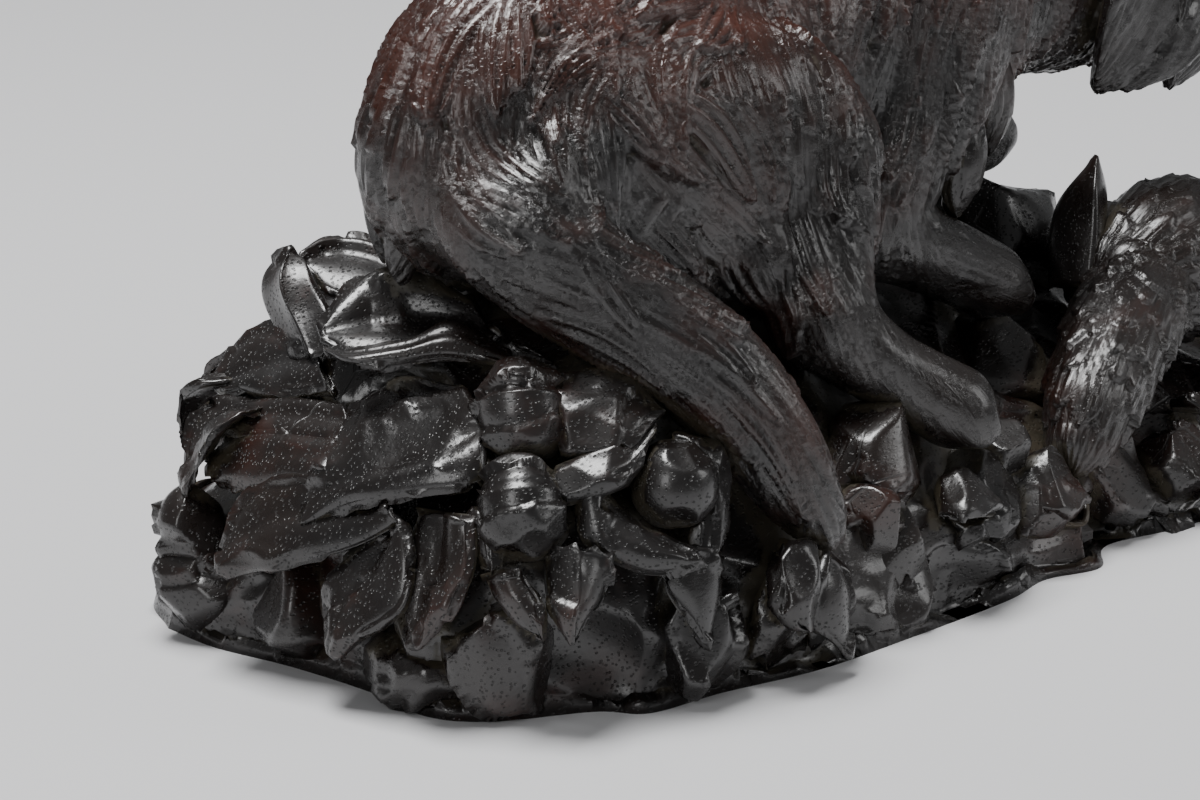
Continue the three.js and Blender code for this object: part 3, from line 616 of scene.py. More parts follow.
def toes(rows, size):
    """The four toes at the end of a foot, as eggs: centre, half sizes, turn and tilt."""
    last, before = np.array(rows[-1][:3], float), np.array(rows[-2][:3], float)
    ahead = unit(last - before)
    side = unit(np.cross(ahead, UP))
    made = []
    for toe in range(4):
        offset = toe - 1.5
        place = last + side * offset * size + ahead * (0.4 + size * (0.9 - 0.3 * abs(offset)))
        place[2] -= 0.6
        made.append((place, (size * 1.5, size * 0.68, size * 1.1),
                     math.atan2(ahead[1], ahead[0]), -math.asin(ahead[2])))
    return made


def dog_side(sign, pitch):
    """One side of the dog's body, right with sign -1 and left with sign 1, up to the middle
    plane. Past that plane it dives under the other side, so the two meet along the spine."""
    low, high = BODY_LOW.copy(), BODY_HIGH.copy()
    if sign < 0:
        high[1] = SEAM_LAP + 1
    else:
        low[1] = -SEAM_LAP - 1
    block = new_block(low, high, pitch)
    add_limb(block, TRUNK, 3)
    add_limb(block, NECK, 6)
    if sign < 0:
        limbs = ((RIGHT_THIGH, 2.5), (THIGH_FRONT, 2), (RIGHT_SHANK, 3), (RIGHT_HIND_FOOT, 3),
                 (RIGHT_SHOULDER, 3), (RIGHT_FORELEG, 3))
        feet = ((RIGHT_HIND_FOOT, 3.1), (RIGHT_FORELEG, 3.1))
    else:
        limbs = ((LEFT_THIGH, 2.5), (LEFT_HIND_FOOT, 3), (LEFT_SHOULDER, 3), (LEFT_FORELEG, 3))
        feet = ((LEFT_HIND_FOOT, 3.1), (LEFT_FORELEG, 3.1))
    for rows, blend in limbs:
        add_limb(block, rows, blend)
    for centre, halves, turn, blend, kind in SWELLINGS:
        add_egg(block, centre, halves, turn, 0.1, blend, kind)
    if sign < 0:
        add_limb(block, TAIL, 3.5)
    refine(block)
    for rows, size in feet:
        for centre, halves, turn, tilt in toes(rows, size):
            add_egg(block, centre, halves, turn, tilt, blend=1.5)
    shape = block["field"].shape
    y = (low[1] + pitch * np.arange(shape[1]))[None, :, None]
    past = -sign * y
    block["field"] = np.maximum(block["field"] + SEAM_DIVE * np.maximum(past, 0), past - SEAM_LAP)
    return skin_of(block)


def coat_over(points, faces, rng):
    """Cuts the coat into a side of the dog: bold locks everywhere but on the bare feet, longer
    ones down the tail. Returns the points and the marks hollow, across and worn."""
    normals = normals_of(points, faces)
    for _ in range(3):
        normals = unit(neighbours_mean(normals, faces))
    ways = hair_way(points, normals)
    bare = np.zeros(len(points))
    for place, reach, share in BARE:
        gap = np.linalg.norm(points - np.array(place), axis=1)
        bare = np.maximum(bare, share * np.clip(1.6 - 1.1 * gap / reach, 0, 1))
    tail = spline(TAIL[2:], 6)
    gap = np.min([np.linalg.norm(points - row[:3], axis=1) - max(row[3:]) for row in tail], 0)
    on_tail = gap < 2.0
    picks = picks_over(points, 6.0, rng, (bare < 0.85) & ~on_tail)
    height, across = lay_locks(points, normals, ways, picks, rng, 19.0, 8.0, 4, 1.5, 0.95)
    picks = picks_over(points, 5.6, rng, on_tail)
    tail_height, tail_across = lay_locks(points, normals, ways, picks, rng, 34.0, 7.0, 3, 1.5, 0.95,
                                         sway=0.16)
    across = np.where(tail_height > height, tail_across, across)
    height = np.maximum(height, tail_height) * (1 - bare)
    points = points + normals * (height - 1.3 * (1 - bare))[:, None]
    deep = np.clip(1 - height / 1.2, 0, 1) * (1 - bare)
    return points, {"hollow": deep, "across": across, "worn": np.clip((height - 1.4) / 1.0, 0, 1)}


coat_wood = stained_wood("coat_wood", 1.0, 0.25, 0.8)
dog_halves = [("dog_right_side", -1, RIGHT_PITCH, 11), ("dog_left_side", 1, LEFT_PITCH, 12)]
for name, sign, pitch, seed in dog_halves:
    points, faces = dog_side(sign, pitch)
    points, marks = coat_over(points, faces, np.random.default_rng(seed))
    make_piece(name, points, faces, coat_wood, **marks)

# The mound: the bottom of the same block, in the same stained wood, left in the broad flat cuts
# of a chisel. It falls from a ridge under the dog to a rim, then drops to the flat underside.

SIDES = 620
MOUND_HALF_LENGTH = 111
MOUND_HALF_WIDTH = 50.5
MOUND_OUTLINE = [
    (-110, 31), (-110.5, 20), (-108, 6), (-107, -10), (-108, -22), (-103, -30), (-90, -38),
    (-85, -44), (-72, -46), (-55, -50), (-35, -51), (-14, -51.2), (-3, -49.5), (7, -52.2),
    (16, -46.5), (33, -50), (55, -48), (80, -45), (98, -37), (108, -23), (111, -3), (109, 18),
    (100, 35), (84, 45), (58, 49), (28, 50), (-2, 51.6), (-34, 51), (-62, 50), (-86, 48.5), (-103, 42),
]
# Each row is a place along X and the value there.
RIDGE_HEIGHT = [
    (-110, 14), (-104, 27), (-97, 37), (-88, 45), (-80, 51), (-15, 49), (10, 44), (45, 41),
    (57, 36), (68, 24), (80, 17), (98, 13), (110, 8),
]
RIM_HEIGHT = [(-110, 16), (-95, 20), (-60, 17), (-20, 12), (10, 9), (35, 7), (80, 6), (110, 6)]
SLOPE_POWER = [(-110, 2.2), (-60, 2.8), (-30, 1.8), (0, 1.1), (30, 0.85), (60, 0.9), (110, 1.5)]
RIDGE_OFFSET = [(-110, 4), (-60, 0), (20, 2), (50, 8), (75, 4), (110, 0)]


def wrap(grid):
    """Points and faces of a grid of rings whose first and last ring are single poles, with the
    faces turned outwards."""
    rings, sides = grid.shape[:2]
    points = np.vstack([grid[0, :1], grid[1:-1].reshape(-1, 3), grid[-1, :1]])
    ring = 1 + np.arange((rings - 2) * sides).reshape(rings - 2, sides)
    after = np.roll(ring, -1, 1)
    body = np.stack([ring[:-1], after[:-1], after[1:], ring[1:]], -1).reshape(-1, 4)
    first = np.stack([np.zeros(sides, int), after[0], ring[0], ring[0]], -1)
    last = np.stack([np.full(sides, len(points) - 1), ring[-1], after[-1], after[-1]], -1)
    faces = np.vstack([body, first, last])
    a, b, c, d = (points[faces[:, i]] for i in range(4))
    if (np.cross(b, c) * a).sum() + (np.cross(c, d) * a).sum() < 0:
        faces = np.vstack([body[:, ::-1], first[:, [0, 2, 1, 1]], last[:, [0, 2, 1, 1]]])
    return points, faces


def table_at(table, x):
    """Value at x on a table of rows, straight between them."""
    return np.interp(x, [row[0] for row in table], [row[1] for row in table])


def mound_height(x, y):
    """Height of the mound's top: rim + (ridge - rim)(1 - side^power), where side runs from 0 on
    the ridge to 1 at the outline."""
    half = MOUND_HALF_WIDTH * np.maximum(1e-4, 1 - np.abs(x / MOUND_HALF_LENGTH) ** 4) ** 0.25
    middle = table_at(RIDGE_OFFSET, x)
    side = np.where(y < middle, (middle - y) / (half + middle), (y - middle) / (half - middle))
    rim = table_at(RIM_HEIGHT, x)
    fall = np.clip(side, 0, 1) ** table_at(SLOPE_POWER, x)
    return rim + (table_at(RIDGE_HEIGHT, x) - rim) * (1 - fall)


def chisel(points, faces, spacing, sweep, tilt, limit, seed):
    """Cuts a skin into facets, as a wide flat chisel leaves it. Cut k has a middle m on the skin
    and a way n, the skin's own way out turned by chance. Over a point p whose way out is q it lies
    (m - p).n / q.n + |p - m|^2 / 2 sweep above the skin, and the lowest cut counts, so facets
    meet in sharp ridges. Returns the points and how near each is to a ridge."""
    rng = np.random.default_rng(seed)
    normals = normals_of(points, faces)
    order = np.argsort(points[:, 0])
    spot, out = points[order], normals[order]
    row = spot[:, 0]
    lowest = np.full(len(points), limit, float)
    second = np.full(len(points), 2.0 * limit, float)
    for pick in picks_over(points, spacing, rng):
        way = unit(normals[pick] + tilt * rng.normal(size=3))
        reach = 2.0 * spacing
        low, high = np.searchsorted(row, [points[pick, 0] - reach, points[pick, 0] + reach])
        off = points[pick] - spot[low:high]
        facing = out[low:high] @ way
        away = (off**2).sum(1)
        at = np.nonzero((away < reach**2) & (facing > 0.35))[0]
        lift = (off[at] @ way) / facing[at] + away[at] / (2 * sweep)
        at = at + low
        lower = lift < lowest[at]
        second[at] = np.where(lower, lowest[at], np.minimum(second[at], lift))
        lowest[at] = np.where(lower, lift, lowest[at])
    cut = np.empty(len(points))
    edge = np.empty(len(points))
    cut[order] = np.clip(lowest, -limit, limit)
    edge[order] = np.clip(1 - (second - lowest) / 0.25, 0, 1)
    return points + normals * cut[:, None], edge


def mound_grid():
    """Rings of the mound: from the middle of its top out to the rounded rim, down the wall, and
    in across the flat underside."""
    outline = spline(MOUND_OUTLINE + MOUND_OUTLINE[:1], 24)
    step = np.concatenate([[0], np.cumsum(np.linalg.norm(np.diff(outline, axis=0), axis=1))])
    place = step[-1] * np.arange(SIDES) / SIDES
    edge = np.stack([np.interp(place, step, outline[:, 0]), np.interp(place, step, outline[:, 1])], 1)
    part = np.linspace(0, 1, 84) ** 0.75
    top = edge[None] * (part[:, None, None] * 0.97)
    shoulder = 1 - 0.14 * np.clip((part - 0.8) / 0.2, 0, 1) ** 2
    top_z = mound_height(top[..., 0], top[..., 1]) * shoulder[:, None]
    down = np.linspace(0.05, 1, 28)
    tuck = 0.012 * np.clip((down - 0.9) / 0.1, 0, 1) ** 2
    draw = 0.97 + 0.03 * np.sin(np.pi * 0.5 * np.clip(down / 0.5, 0, 1)) - tuck
    wall = np.concatenate([edge[None] * draw[:, None, None],
                           (top_z[-1] * (1 - down[:, None]))[..., None]], -1)
    under = np.concatenate([edge[None] * np.array([0.96, 0.5, 0.0])[:, None, None],
                            np.zeros((3, SIDES, 1))], -1)
    return np.concatenate([np.concatenate([top, top_z[..., None]], -1), wall, under])


points, faces = wrap(mound_grid())
flat = points[:, 2] < 0.1
x, y, z = points.T
swell = np.sin(0.23 * x + 1) * np.sin(0.31 * y + 2) + np.sin(0.4 * z + 0.19 * x - 0.15 * y)
cut = points + 0.8 * swell[:, None] * normals_of(points, faces)
cut, ridge = chisel(cut, faces, 12.0, 90.0, 0.26, 2.8, 3)
cut, fine = chisel(cut, faces, 5.5, 22.0, 0.13, 0.8, 4)
cut[:, 2] = np.maximum(cut[:, 2], 0)
mound_wood = stained_wood("mound_wood", 0.0, 0.75, 1.0)
cut = np.where(flat[:, None], points, cut)
make_piece("mound", cut, faces, mound_wood, worn=np.maximum(ridge, 0.6 * fine))

# Rocks: broken lumps that stand out of the mound, cut from the same wood with flat breaks. The one
# behind the forelegs is pale with dust.

# Centre, half sizes and turn.
ROCKS = [
    ((42, 5, 31), (18, 14, 15), 0.4), ((22, -17, 20), (13, 10, 9), 1.1), ((-60, -45, 9), (7, 6, 9), 0.3),
    ((-50, -46, 9), (6, 6, 9), 1.3), ((-30, -36, 24), (11, 9, 10), 0.8), ((-12, -39, 13), (10, 9, 8), 2.1),
    ((-35, -44, 11), (8, 6, 8), 2.6), ((2, -43, 8), (8, 7, 6), 0.6), ((-76, 40, 20), (11, 10, 12), 0.5),
    ((-20, 40, 20), (13, 9, 13), 1.9), ((14, 38, 16), (12, 10, 12), 0.2), ((62, 30, 15), (12, 10, 9), 1.4),
    ((-98.5, -29, 9), (8, 7.5, 9), 0.7), ((-106, 27, 16), (6.5, 6, 7), 0.3), ((-107, 24, 7), (6, 7, 8), 1.2),
    ((-102, 7, 9), (8, 8, 8), 0.2), ((-101, -15, 5), (9, 9, 7), 1.0), ((-74, -43.5, 9), (8, 7, 8), 0.4),
    ((-38, -43.5, 16), (7, 6, 7), 1.7), ((-16, -44, 11), (7, 6, 6), 0.9), ((3, -42, 12), (8, 7, 7), 1.5),
    ((-32, -45, 4), (9, 6, 6), 0.1), ((-4, -38, 18), (7, 6, 7), 2.0), ((-34, -37, 23), (8, 7, 7), 1.1),
    ((20, -42, 8), (8, 7, 8), 0.4), ((34, -44, 7), (8, 6, 7), 1.9),
]


def ball(rings, sides):
    """Ways out from the middle of a ball, in rings from its top pole to its bottom one."""
    down = np.pi * np.arange(rings + 1) / rings
    round_ = 2 * np.pi * np.arange(sides) / sides
    return np.stack([np.outer(np.sin(down), np.cos(round_)), np.outer(np.sin(down), np.sin(round_)),
                     np.repeat(np.cos(down)[:, None], sides, 1)], -1)


def join(parts):
    """Many small meshes as one: points and faces one after another."""
    points, faces, base = [], [], 0
    for some, those in parts:
        points.append(some)
        faces.append(those + base)
        base += len(some)
    return np.vstack(points), np.vstack(faces)


def rock(centre, halves, turn, seed):
    """A lump with flat breaks: along each way out the radius is the least of d / cos(angle) over
    fifteen planes, each about one half size off, softened at the edges and at most 1.12."""
    rng = np.random.default_rng(seed)
    way = ball(36, 52)
    planes = unit(rng.normal(size=(15, 3)) * np.array([1, 1, 0.8]))
    off = rng.uniform(0.72, 1.0, 15)
    facing = np.maximum(way @ planes.T, 1e-3) / off
    radius = np.minimum(1 / (facing**18).sum(-1) ** (1 / 18), 1.12)
    local = way * radius[..., None] * np.array(halves)
    c, s = math.cos(turn), math.sin(turn)
    grid = np.stack([local[..., 0] * c - local[..., 1] * s, local[..., 0] * s + local[..., 1] * c,
                     local[..., 2]], -1) + np.array(centre)
    grid[..., 2] = np.maximum(grid[..., 2], 0.3)
    return wrap(grid)


points, faces = join([rock(*row, 40 + i) for i, row in enumerate(ROCKS)])
points, ridge = chisel(points, faces, 6.0, 40.0, 0.15, 1.0, 5)
points[:, 2] = np.maximum(points[:, 2], 0.2)
dusty = 0.9 * np.clip(1.6 - np.linalg.norm(points - np.array([42, 2, 40]), axis=1) / 14, 0, 1)
make_piece("mound_rocks", points, faces, mound_wood, worn=0.5 * ridge, hollow=dusty)

# The leaf cluster at the rump end, in the same stained wood: thick fleshy leaves that stand off
# the mound, each folded along its middle and left in small flat cuts.

# One leaf to a row of stations, from root to tip or round a rim. A station is a place on the
# leaf's upper or left edge, one on its fold and one on its lower or right edge, all picked
# in the photograph: the pixel across and down, and how many mm nearer the camera than AIM.
CLUSTER = [
    [(398, 240, -27, 392, 264, -25, 388, 292, -19), (352, 230, -28, 360, 252, -26, 356, 294, -18),
     (322, 238, -27, 330, 250, -26, 326, 282, -19), (303, 252, -24, 304, 258, -23, 306, 264, -22)],
    [(470, 290, -10, 486, 325, -6, 500, 345, -2), (425, 264, -11, 432, 318, -8, 430, 345, -2),
     (378, 260, -12, 385, 318, -9, 380, 350, -1), (338, 290, -10, 345, 325, -7, 345, 350, -2),
     (320, 322, -7, 322, 330, -6, 323, 340, -5)],
    [(512, 345, 0, 515, 352, 2, 510, 360, 4), (455, 311, 0, 455, 330, 3, 448, 352, 5),
     (408, 332, 1, 408, 342, 3, 385, 356, 5), (355, 345, 1, 352, 350, 2, 345, 356, 4),
     (322, 342, -2, 322, 346, -1, 323, 350, 0)],
    [(298, 360, -21, 325, 356, -15, 345, 350, -13), (278, 322, -25, 306, 318, -18, 338, 308, -17),
     (268, 287, -27, 292, 285, -20, 322, 280, -20), (286, 262, -27, 298, 262, -24, 310, 264, -24)],
    [(290, 314, -24, 320, 352, -14, 332, 390, -8), (250, 324, -26, 285, 358, -17, 290, 393, -12),
     (228, 345, -27, 248, 368, -20, 255, 394, -15), (213, 378, -25, 215, 383, -24, 220, 390, -22)],
    [(345, 396, -6, 348, 418, -3, 340, 440, 0), (290, 390, -12, 300, 413, -8, 290, 438, -5),
     (240, 394, -19, 250, 413, -14, 245, 438, -11), (210, 408, -22, 211, 420, -20, 213, 434, -18)],
    [(335, 430, -2, 335, 455, 2, 325, 484, 4), (275, 426, -8, 282, 452, -4, 285, 486, -2),
     (235, 430, -14, 240, 456, -10, 240, 492, -8), (206, 452, -19, 208, 466, -17, 213, 490, -15)],
    [(462, 385, 4, 484, 425, 11, 486, 470, 14), (440, 380, 1, 455, 436, 10, 465, 479, 15),
     (392, 375, -4, 412, 455, 9, 425, 486, 14), (345, 405, -4, 366, 470, 7, 370, 496, 11),
     (313, 452, -3, 330, 490, 4, 334, 506, 7), (296, 518, 2, 299, 522, 3, 303, 527, 3)],
    [(352, 470, 2, 388, 502, 9, 395, 520, 12), (290, 470, -3, 330, 508, 3, 350, 544, 9),
     (245, 488, -8, 270, 518, -2, 288, 560, 3), (220, 532, -9, 228, 550, -5, 240, 573, -3),
     (216, 570, -7, 218, 573, -6, 222, 578, -5)],
    [(365, 532, 6, 388, 540, 9, 395, 520, 12), (336, 560, 4, 370, 565, 8, 402, 560, 14),
     (319, 594, 3, 350, 600, 7, 395, 604, 14), (322, 628, 4, 336, 632, 7, 360, 632, 11),
     (328, 650, 5, 331, 652, 6, 334, 654, 7)],
    [(412, 510, 9, 440, 512, 13, 462, 518, 17), (396, 552, 10, 436, 560, 13, 462, 562, 18),
     (393, 602, 12, 425, 602, 14, 445, 606, 19), (408, 646, 14, 412, 648, 15, 417, 650, 16)],
    [(662, 402, 5, 663, 406, 6, 660, 412, 7), (640, 372, 3, 640, 400, 8, 635, 438, 13),
     (600, 360, 3, 602, 394, 9, 600, 442, 14), (552, 370, 6, 558, 400, 10, 565, 446, 14)],
    [(655, 420, 9, 657, 425, 10, 657, 430, 11), (625, 438, 12, 628, 455, 14, 635, 470, 15),
     (590, 452, 13, 593, 472, 16, 600, 490, 16), (552, 468, 13, 556, 482, 15, 562, 496, 16)],
    [(704, 566, 11, 705, 569, 11, 706, 573, 11), (690, 545, 11, 685, 556, 14, 680, 571, 14),
     (655, 525, 12, 645, 546, 16, 640, 568, 16), (625, 500, 12, 606, 520, 16, 588, 542, 16),
     (600, 470, 12, 588, 484, 15, 577, 500, 14)],
    [(668, 444, 7, 675, 436, 6, 684, 431, 3), (700, 462, 8, 712, 450, 7, 722, 446, 3),
     (712, 495, 8, 724, 497, 6, 732, 500, 2), (704, 530, 9, 716, 540, 8, 722, 548, 5),
     (700, 556, 10, 704, 566, 10, 708, 570, 9)],
    [(466, 520, 13, 476, 508, 15, 488, 513, 15), (466, 545, 15, 482, 540, 17, 502, 545, 16),
     (480, 570, 16, 490, 570, 17, 502, 570, 16)],
    [(478, 578, 17, 500, 576, 20, 518, 572, 20), (490, 604, 18, 510, 598, 21, 532, 596, 21),
     (512, 630, 19, 526, 620, 21, 540, 618, 21), (538, 640, 20, 541, 640, 20, 544, 640, 20)],
    [(540, 552, 16, 576, 546, 19, 614, 554, 17), (545, 592, 19, 580, 585, 21, 609, 588, 18),
     (556, 620, 20, 578, 616, 22, 594, 617, 20), (573, 644, 20, 575, 645, 20, 578, 644, 20)],
    [(668, 552, 13, 700, 548, 12, 728, 560, 8), (670, 590, 13, 700, 586, 12, 730, 592, 8),
     (690, 622, 11, 705, 622, 11, 722, 622, 8), (706, 650, 9, 708, 650, 9, 711, 650, 9)],
    [(776, 570, 3, 790, 545, 1, 815, 540, -2), (778, 600, 4, 800, 590, 3, 822, 562, -1),
     (786, 620, 3, 804, 618, 2, 820, 600, 0), (808, 634, 1, 810, 633, 1, 813, 630, 0)],
    [(818, 556, -3, 830, 552, -3, 848, 568, -6), (806, 590, 0, 832, 590, -1, 858, 590, -7),
     (808, 625, -1, 835, 630, -2, 857, 625, -6), (846, 655, -7, 849, 656, -7, 852, 655, -8)],
    [(940, 480, -30, 955, 470, -30, 985, 478, -33), (945, 500, -27, 965, 495, -26, 1002, 500, -32),
     (950, 512, -25, 970, 514, -24, 1000, 512, -30), (962, 524, -24, 965, 524, -24, 970, 522, -25)],
]


def folded_leaf(stations, thick=3.2, belly=0.1, sides=64):
    """A closed fleshy leaf through stations picked in the photograph. Across it, c runs from -1
    on the upper edge through 0 on the fold to 1 on the lower edge, straight between them but
    bowed out by belly half sin(pi |c|). The lower side lies a thickness behind, and the edges
    are blunt."""
    path = spline(as_seen(np.reshape(stations, (-1, 3, 3))).reshape(-1, 9), 9)
    upper, fold, lower = path[:, 0:3], path[:, 3:6], path[:, 6:9]
    ahead = unit(np.gradient(fold, axis=0))
    out = unit(np.cross(ahead, lower - upper))
    half = 0.5 * np.linalg.norm(lower - upper, axis=1)[:, None]
    angle = (2 * np.pi * np.arange(sides) / sides)[None]
    c = np.sign(np.cos(angle)) * np.abs(np.cos(angle)) ** 0.9
    rise = np.sign(np.sin(angle)) * np.abs(np.sin(angle)) ** 0.5
    body = np.minimum(thick, 0.9 * half + 0.5)
    lift = belly * half * np.sin(np.pi * np.abs(c)) - 0.5 * body * (1 - rise)
    reach = np.where(c[..., None] < 0, (upper - fold)[:, None], (lower - fold)[:, None])
    grid = fold[:, None] + reach * np.abs(c)[..., None] + out[:, None] * lift[..., None]
    poles = [grid[i].mean(0) - 0.8 * side * ahead[i] for i, side in ((0, 1), (-1, -1))]
    return wrap(np.concatenate([np.tile(poles[0], (1, sides, 1)), grid, np.tile(poles[1], (1, sides, 1))]))


points, faces = join([folded_leaf(stations) for stations in CLUSTER])
points, ridge = chisel(points, faces, 5.0, 14.0, 0.13, 0.55, 2)
leaf_wood = stained_wood("leaf_wood", 0.0, 1.0, 0.9)
make_piece("leaf_cluster", points, faces, leaf_wood, worn=0.6 * ridge)

# Leaves down the other slopes of the mound, of the same wood and kind but plainer, one by one on
# the ground they lie on.

# Root x and y, the way it points and its length.
SLOPE_LEAVES = [
    (-96, 20, 2.6, 19), (68, 28, 0.9, 21), (80, 21, 1.3, 19), (86, 14, 0.3, 20), (92, 2, 0.5, 18),
    (88, -10, -0.2, 20), (84, -22, -0.7, 19), (66, -33, -1.1, 15), (46, -36, -1.6, 13),
]


def leaf(root, tip, face, width, cup, arch=0.1, thick=3.0, rings=44, sides=64, vein=0.35):
    """A closed fleshy leaf. At v along it and c across it, from -1 to 1, the half width is
    0.5 width sin(pi v^0.75)^0.7 and the upper side lifts 2 cup half (|c| + c^2) / 2, so it folds
    along its middle, plus arch length sin(pi v). The lower side lies a thickness below, the
    edges are blunt, and a fine groove vein exp(-(c half / 0.35)^2) runs down the fold."""
    start = np.array(root, float)
    line = np.array(tip, float) - start
    length = np.linalg.norm(line)
    ahead = unit(line)
    top = unit(np.array(face, float) - ahead * (np.array(face) @ ahead))
    side = np.cross(ahead, top)
    v = (0.5 - 0.5 * np.cos(np.pi * np.arange(rings + 1) / rings))[:, None]
    angle = (2 * np.pi * np.arange(sides) / sides)[None]
    bow = np.sin(np.pi * v)
    half = 0.5 * width * np.sin(np.pi * v**0.75) ** 0.7
    c = np.sign(np.cos(angle)) * np.abs(np.cos(angle)) ** 0.9
    rise = np.sign(np.sin(angle)) * np.abs(np.sin(angle)) ** 0.5
    lift = 0.5 * thick * bow**0.5 * (1 - 0.25 * c**2) * rise
    lift = lift + 2 * cup * half * (0.5 * np.abs(c) + 0.5 * c**2) + arch * length * bow
    lift = lift - vein * np.clip(2 * rise, 0, 1) * bow**0.5 * np.exp(-(c * half / 0.35) ** 2)
    lift[0] = lift[-1] = 0
    return wrap(start + line * v[..., None] + side * (half * c)[..., None] + top * lift[..., None])


def scatter(i, j):
    """A number from -1 to 1 that looks random but is fixed for each pair."""
    wave = math.sin(i * 127.1 + j * 311.7) * 43758.5453
    return 2 * (wave - math.floor(wave)) - 1


for place in range(7):
    x = -90 + 22 * place
    SLOPE_LEAVES.append((x, 27 + scatter(place, 3), 1.9 + 0.5 * scatter(place, 5), 21))
    SLOPE_LEAVES.append((x + 10, 36 + scatter(place, 4), 1.2 + 0.5 * scatter(place, 6), 19))
parts = []
for x, y, turn, length in SLOPE_LEAVES:
    tip_x, tip_y = x + 0.7 * length * math.cos(turn), y + 0.7 * length * math.sin(turn)
    root = (x, y, mound_height(x, y) - 1)
    tip = (tip_x, tip_y, mound_height(tip_x, tip_y) + 3)
    face = (0.7 * math.cos(turn), 0.7 * math.sin(turn), 0.8)
    parts.append(leaf(root, tip, face, 0.6 * length, 0.2, 0.2, 3.0, 26, 36))
points, faces = join(parts)
points, ridge = chisel(points, faces, 6.0, 16.0, 0.13, 0.9, 6)
make_piece("slope_leaves", points, faces, leaf_wood, worn=0.6 * ridge)

# Buds: round ones of the same wood between the leaves, most with a cap drawn in to a low collar.
# They are left smoother than the leaves, with a few flat cuts.

# Centre, radius, and how deep the collar is.
BUDS = [
    ((-89, -23, 41), 6.9, 1.0), ((-95.5, -29.5, 30), 6.8, 0.5), ((-75.5, -40, 31), 5.6, 0.0),
    ((-60, 38, 38), 6.5, 1.0), ((-36, 42, 32), 6.2, 1.0), ((30, 36, 26), 6.2, 1.0), ((88, 20, 16), 6.4, 1.0),
    ((94, -12, 15), 6.4, 1.0),
]


def bud(centre, radius, collar, way):
    """A ball whose radius, at a height h along its own way, is
    r (1 + collar (0.045 exp(-((h - 0.22)/0.12)^2) - 0.05 exp(-((h - 0.38)/0.07)^2)))."""
    out = ball(48, 64)
    h = out @ unit(np.array(way, float))
    ring = 0.045 * np.exp(-((h - 0.22) / 0.12) ** 2) - 0.05 * np.exp(-((h - 0.38) / 0.07) ** 2)
    return wrap(out * (radius * (1 + collar * ring))[..., None] * np.array([1, 1, 1.06]) + np.array(centre))


points, faces = join([bud(*row, (0.3, 0.4, 0.85)) for row in BUDS])
points, ridge = chisel(points, faces, 6.0, 14.0, 0.14, 0.7, 7)
make_piece("buds", points, faces, leaf_wood, worn=0.4 * ridge)

# The dead bird, in the same stained wood: it hangs over the near side of the mound, its feathers
# cut in short rounded locks, with one wing raised and its head hanging.

BIRD_BODY = [
    (44, -25, 31, 8, 9), (54, -24, 32, 12, 12), (66, -22, 30.5, 13, 12.5), (80, -22, 24, 9.5, 9),
    (92, -24, 17, 4.5, 4.5),
]
BIRD_NECK = [
    (48, -27, 30, 8, 9), (38, -31, 28, 8.5, 9.5), (28, -35.5, 25, 8, 9), (19.5, -39, 20.5, 7, 8),
    (14.5, -41, 15.5, 5, 6),
]
# The raised wing, in stations like those of the leaf cluster.
RAISED_WING = [
    (1094, 157, -84, 1097, 155, -84, 1100, 158, -85), (1066, 190, -84, 1096, 190, -80, 1109, 190, -86),
    (1052, 235, -83, 1096, 235, -79, 1108, 235, -85), (1052, 285, -82, 1090, 285, -78, 1104, 285, -84),
]


def tube(rows, steps, sides, cap=8):
    """A rounded limb as rings of points, and the way ahead at each. Each ring is
    centre + across w cos a + over h sin a, with across level, and over square to it and the
    axis. The ends close in half rounds."""
    path = spline(rows, steps)
    centre, size = path[:, :3], path[:, 3:]
    ahead = unit(np.gradient(centre, axis=0))
    turn = np.pi / 2 * (1 - np.arange(cap) / cap)
    round_end = size.min(1)
    first = centre[0] - np.outer(np.sin(turn) * round_end[0], ahead[0])
    last = centre[-1] + np.outer(np.sin(turn[::-1]) * round_end[-1], ahead[-1])
    centre = np.vstack([first, centre, last])
    shrink = np.concatenate([np.cos(turn), np.ones(len(path)), np.cos(turn[::-1])])
    size = np.vstack([np.repeat(size[:1], cap, 0), size, np.repeat(size[-1:], cap, 0)]) * shrink[:, None]
    ahead = np.vstack([np.repeat(ahead[:1], cap, 0), ahead, np.repeat(ahead[-1:], cap, 0)])
    across = unit(np.cross(ahead, UP))
    over = np.cross(across, ahead)
    angle = 2 * np.pi * np.arange(sides) / sides
    grid = (centre[:, None] + across[:, None] * (size[:, :1] * np.cos(angle))[..., None]
            + over[:, None] * (size[:, 1:] * np.sin(angle))[..., None])
    return grid, np.repeat(ahead[:, None], sides, 1)


def feathered(rows, steps, sides, rng, spacing, **locks):
    """A limb of the bird with feathers cut along it: its points, its faces and their marks."""
    grid, ahead = tube(rows, steps, sides)
    points, faces = wrap(grid)
    normals = normals_of(points, faces)
    way = flat_way(np.vstack([ahead[0, :1], ahead[1:-1].reshape(-1, 3), ahead[-1, :1]]), normals)
    picks = picks_over(points, spacing, rng)
    height, across = lay_locks(points, normals, way, picks, rng, **locks)
    high = locks["rise"] + locks["cut"]
    points = points + normals * (height - 0.5 * high)[:, None]
    return points, faces, {"hollow": np.clip(1 - height / (0.5 * high), 0, 1), "across": across}


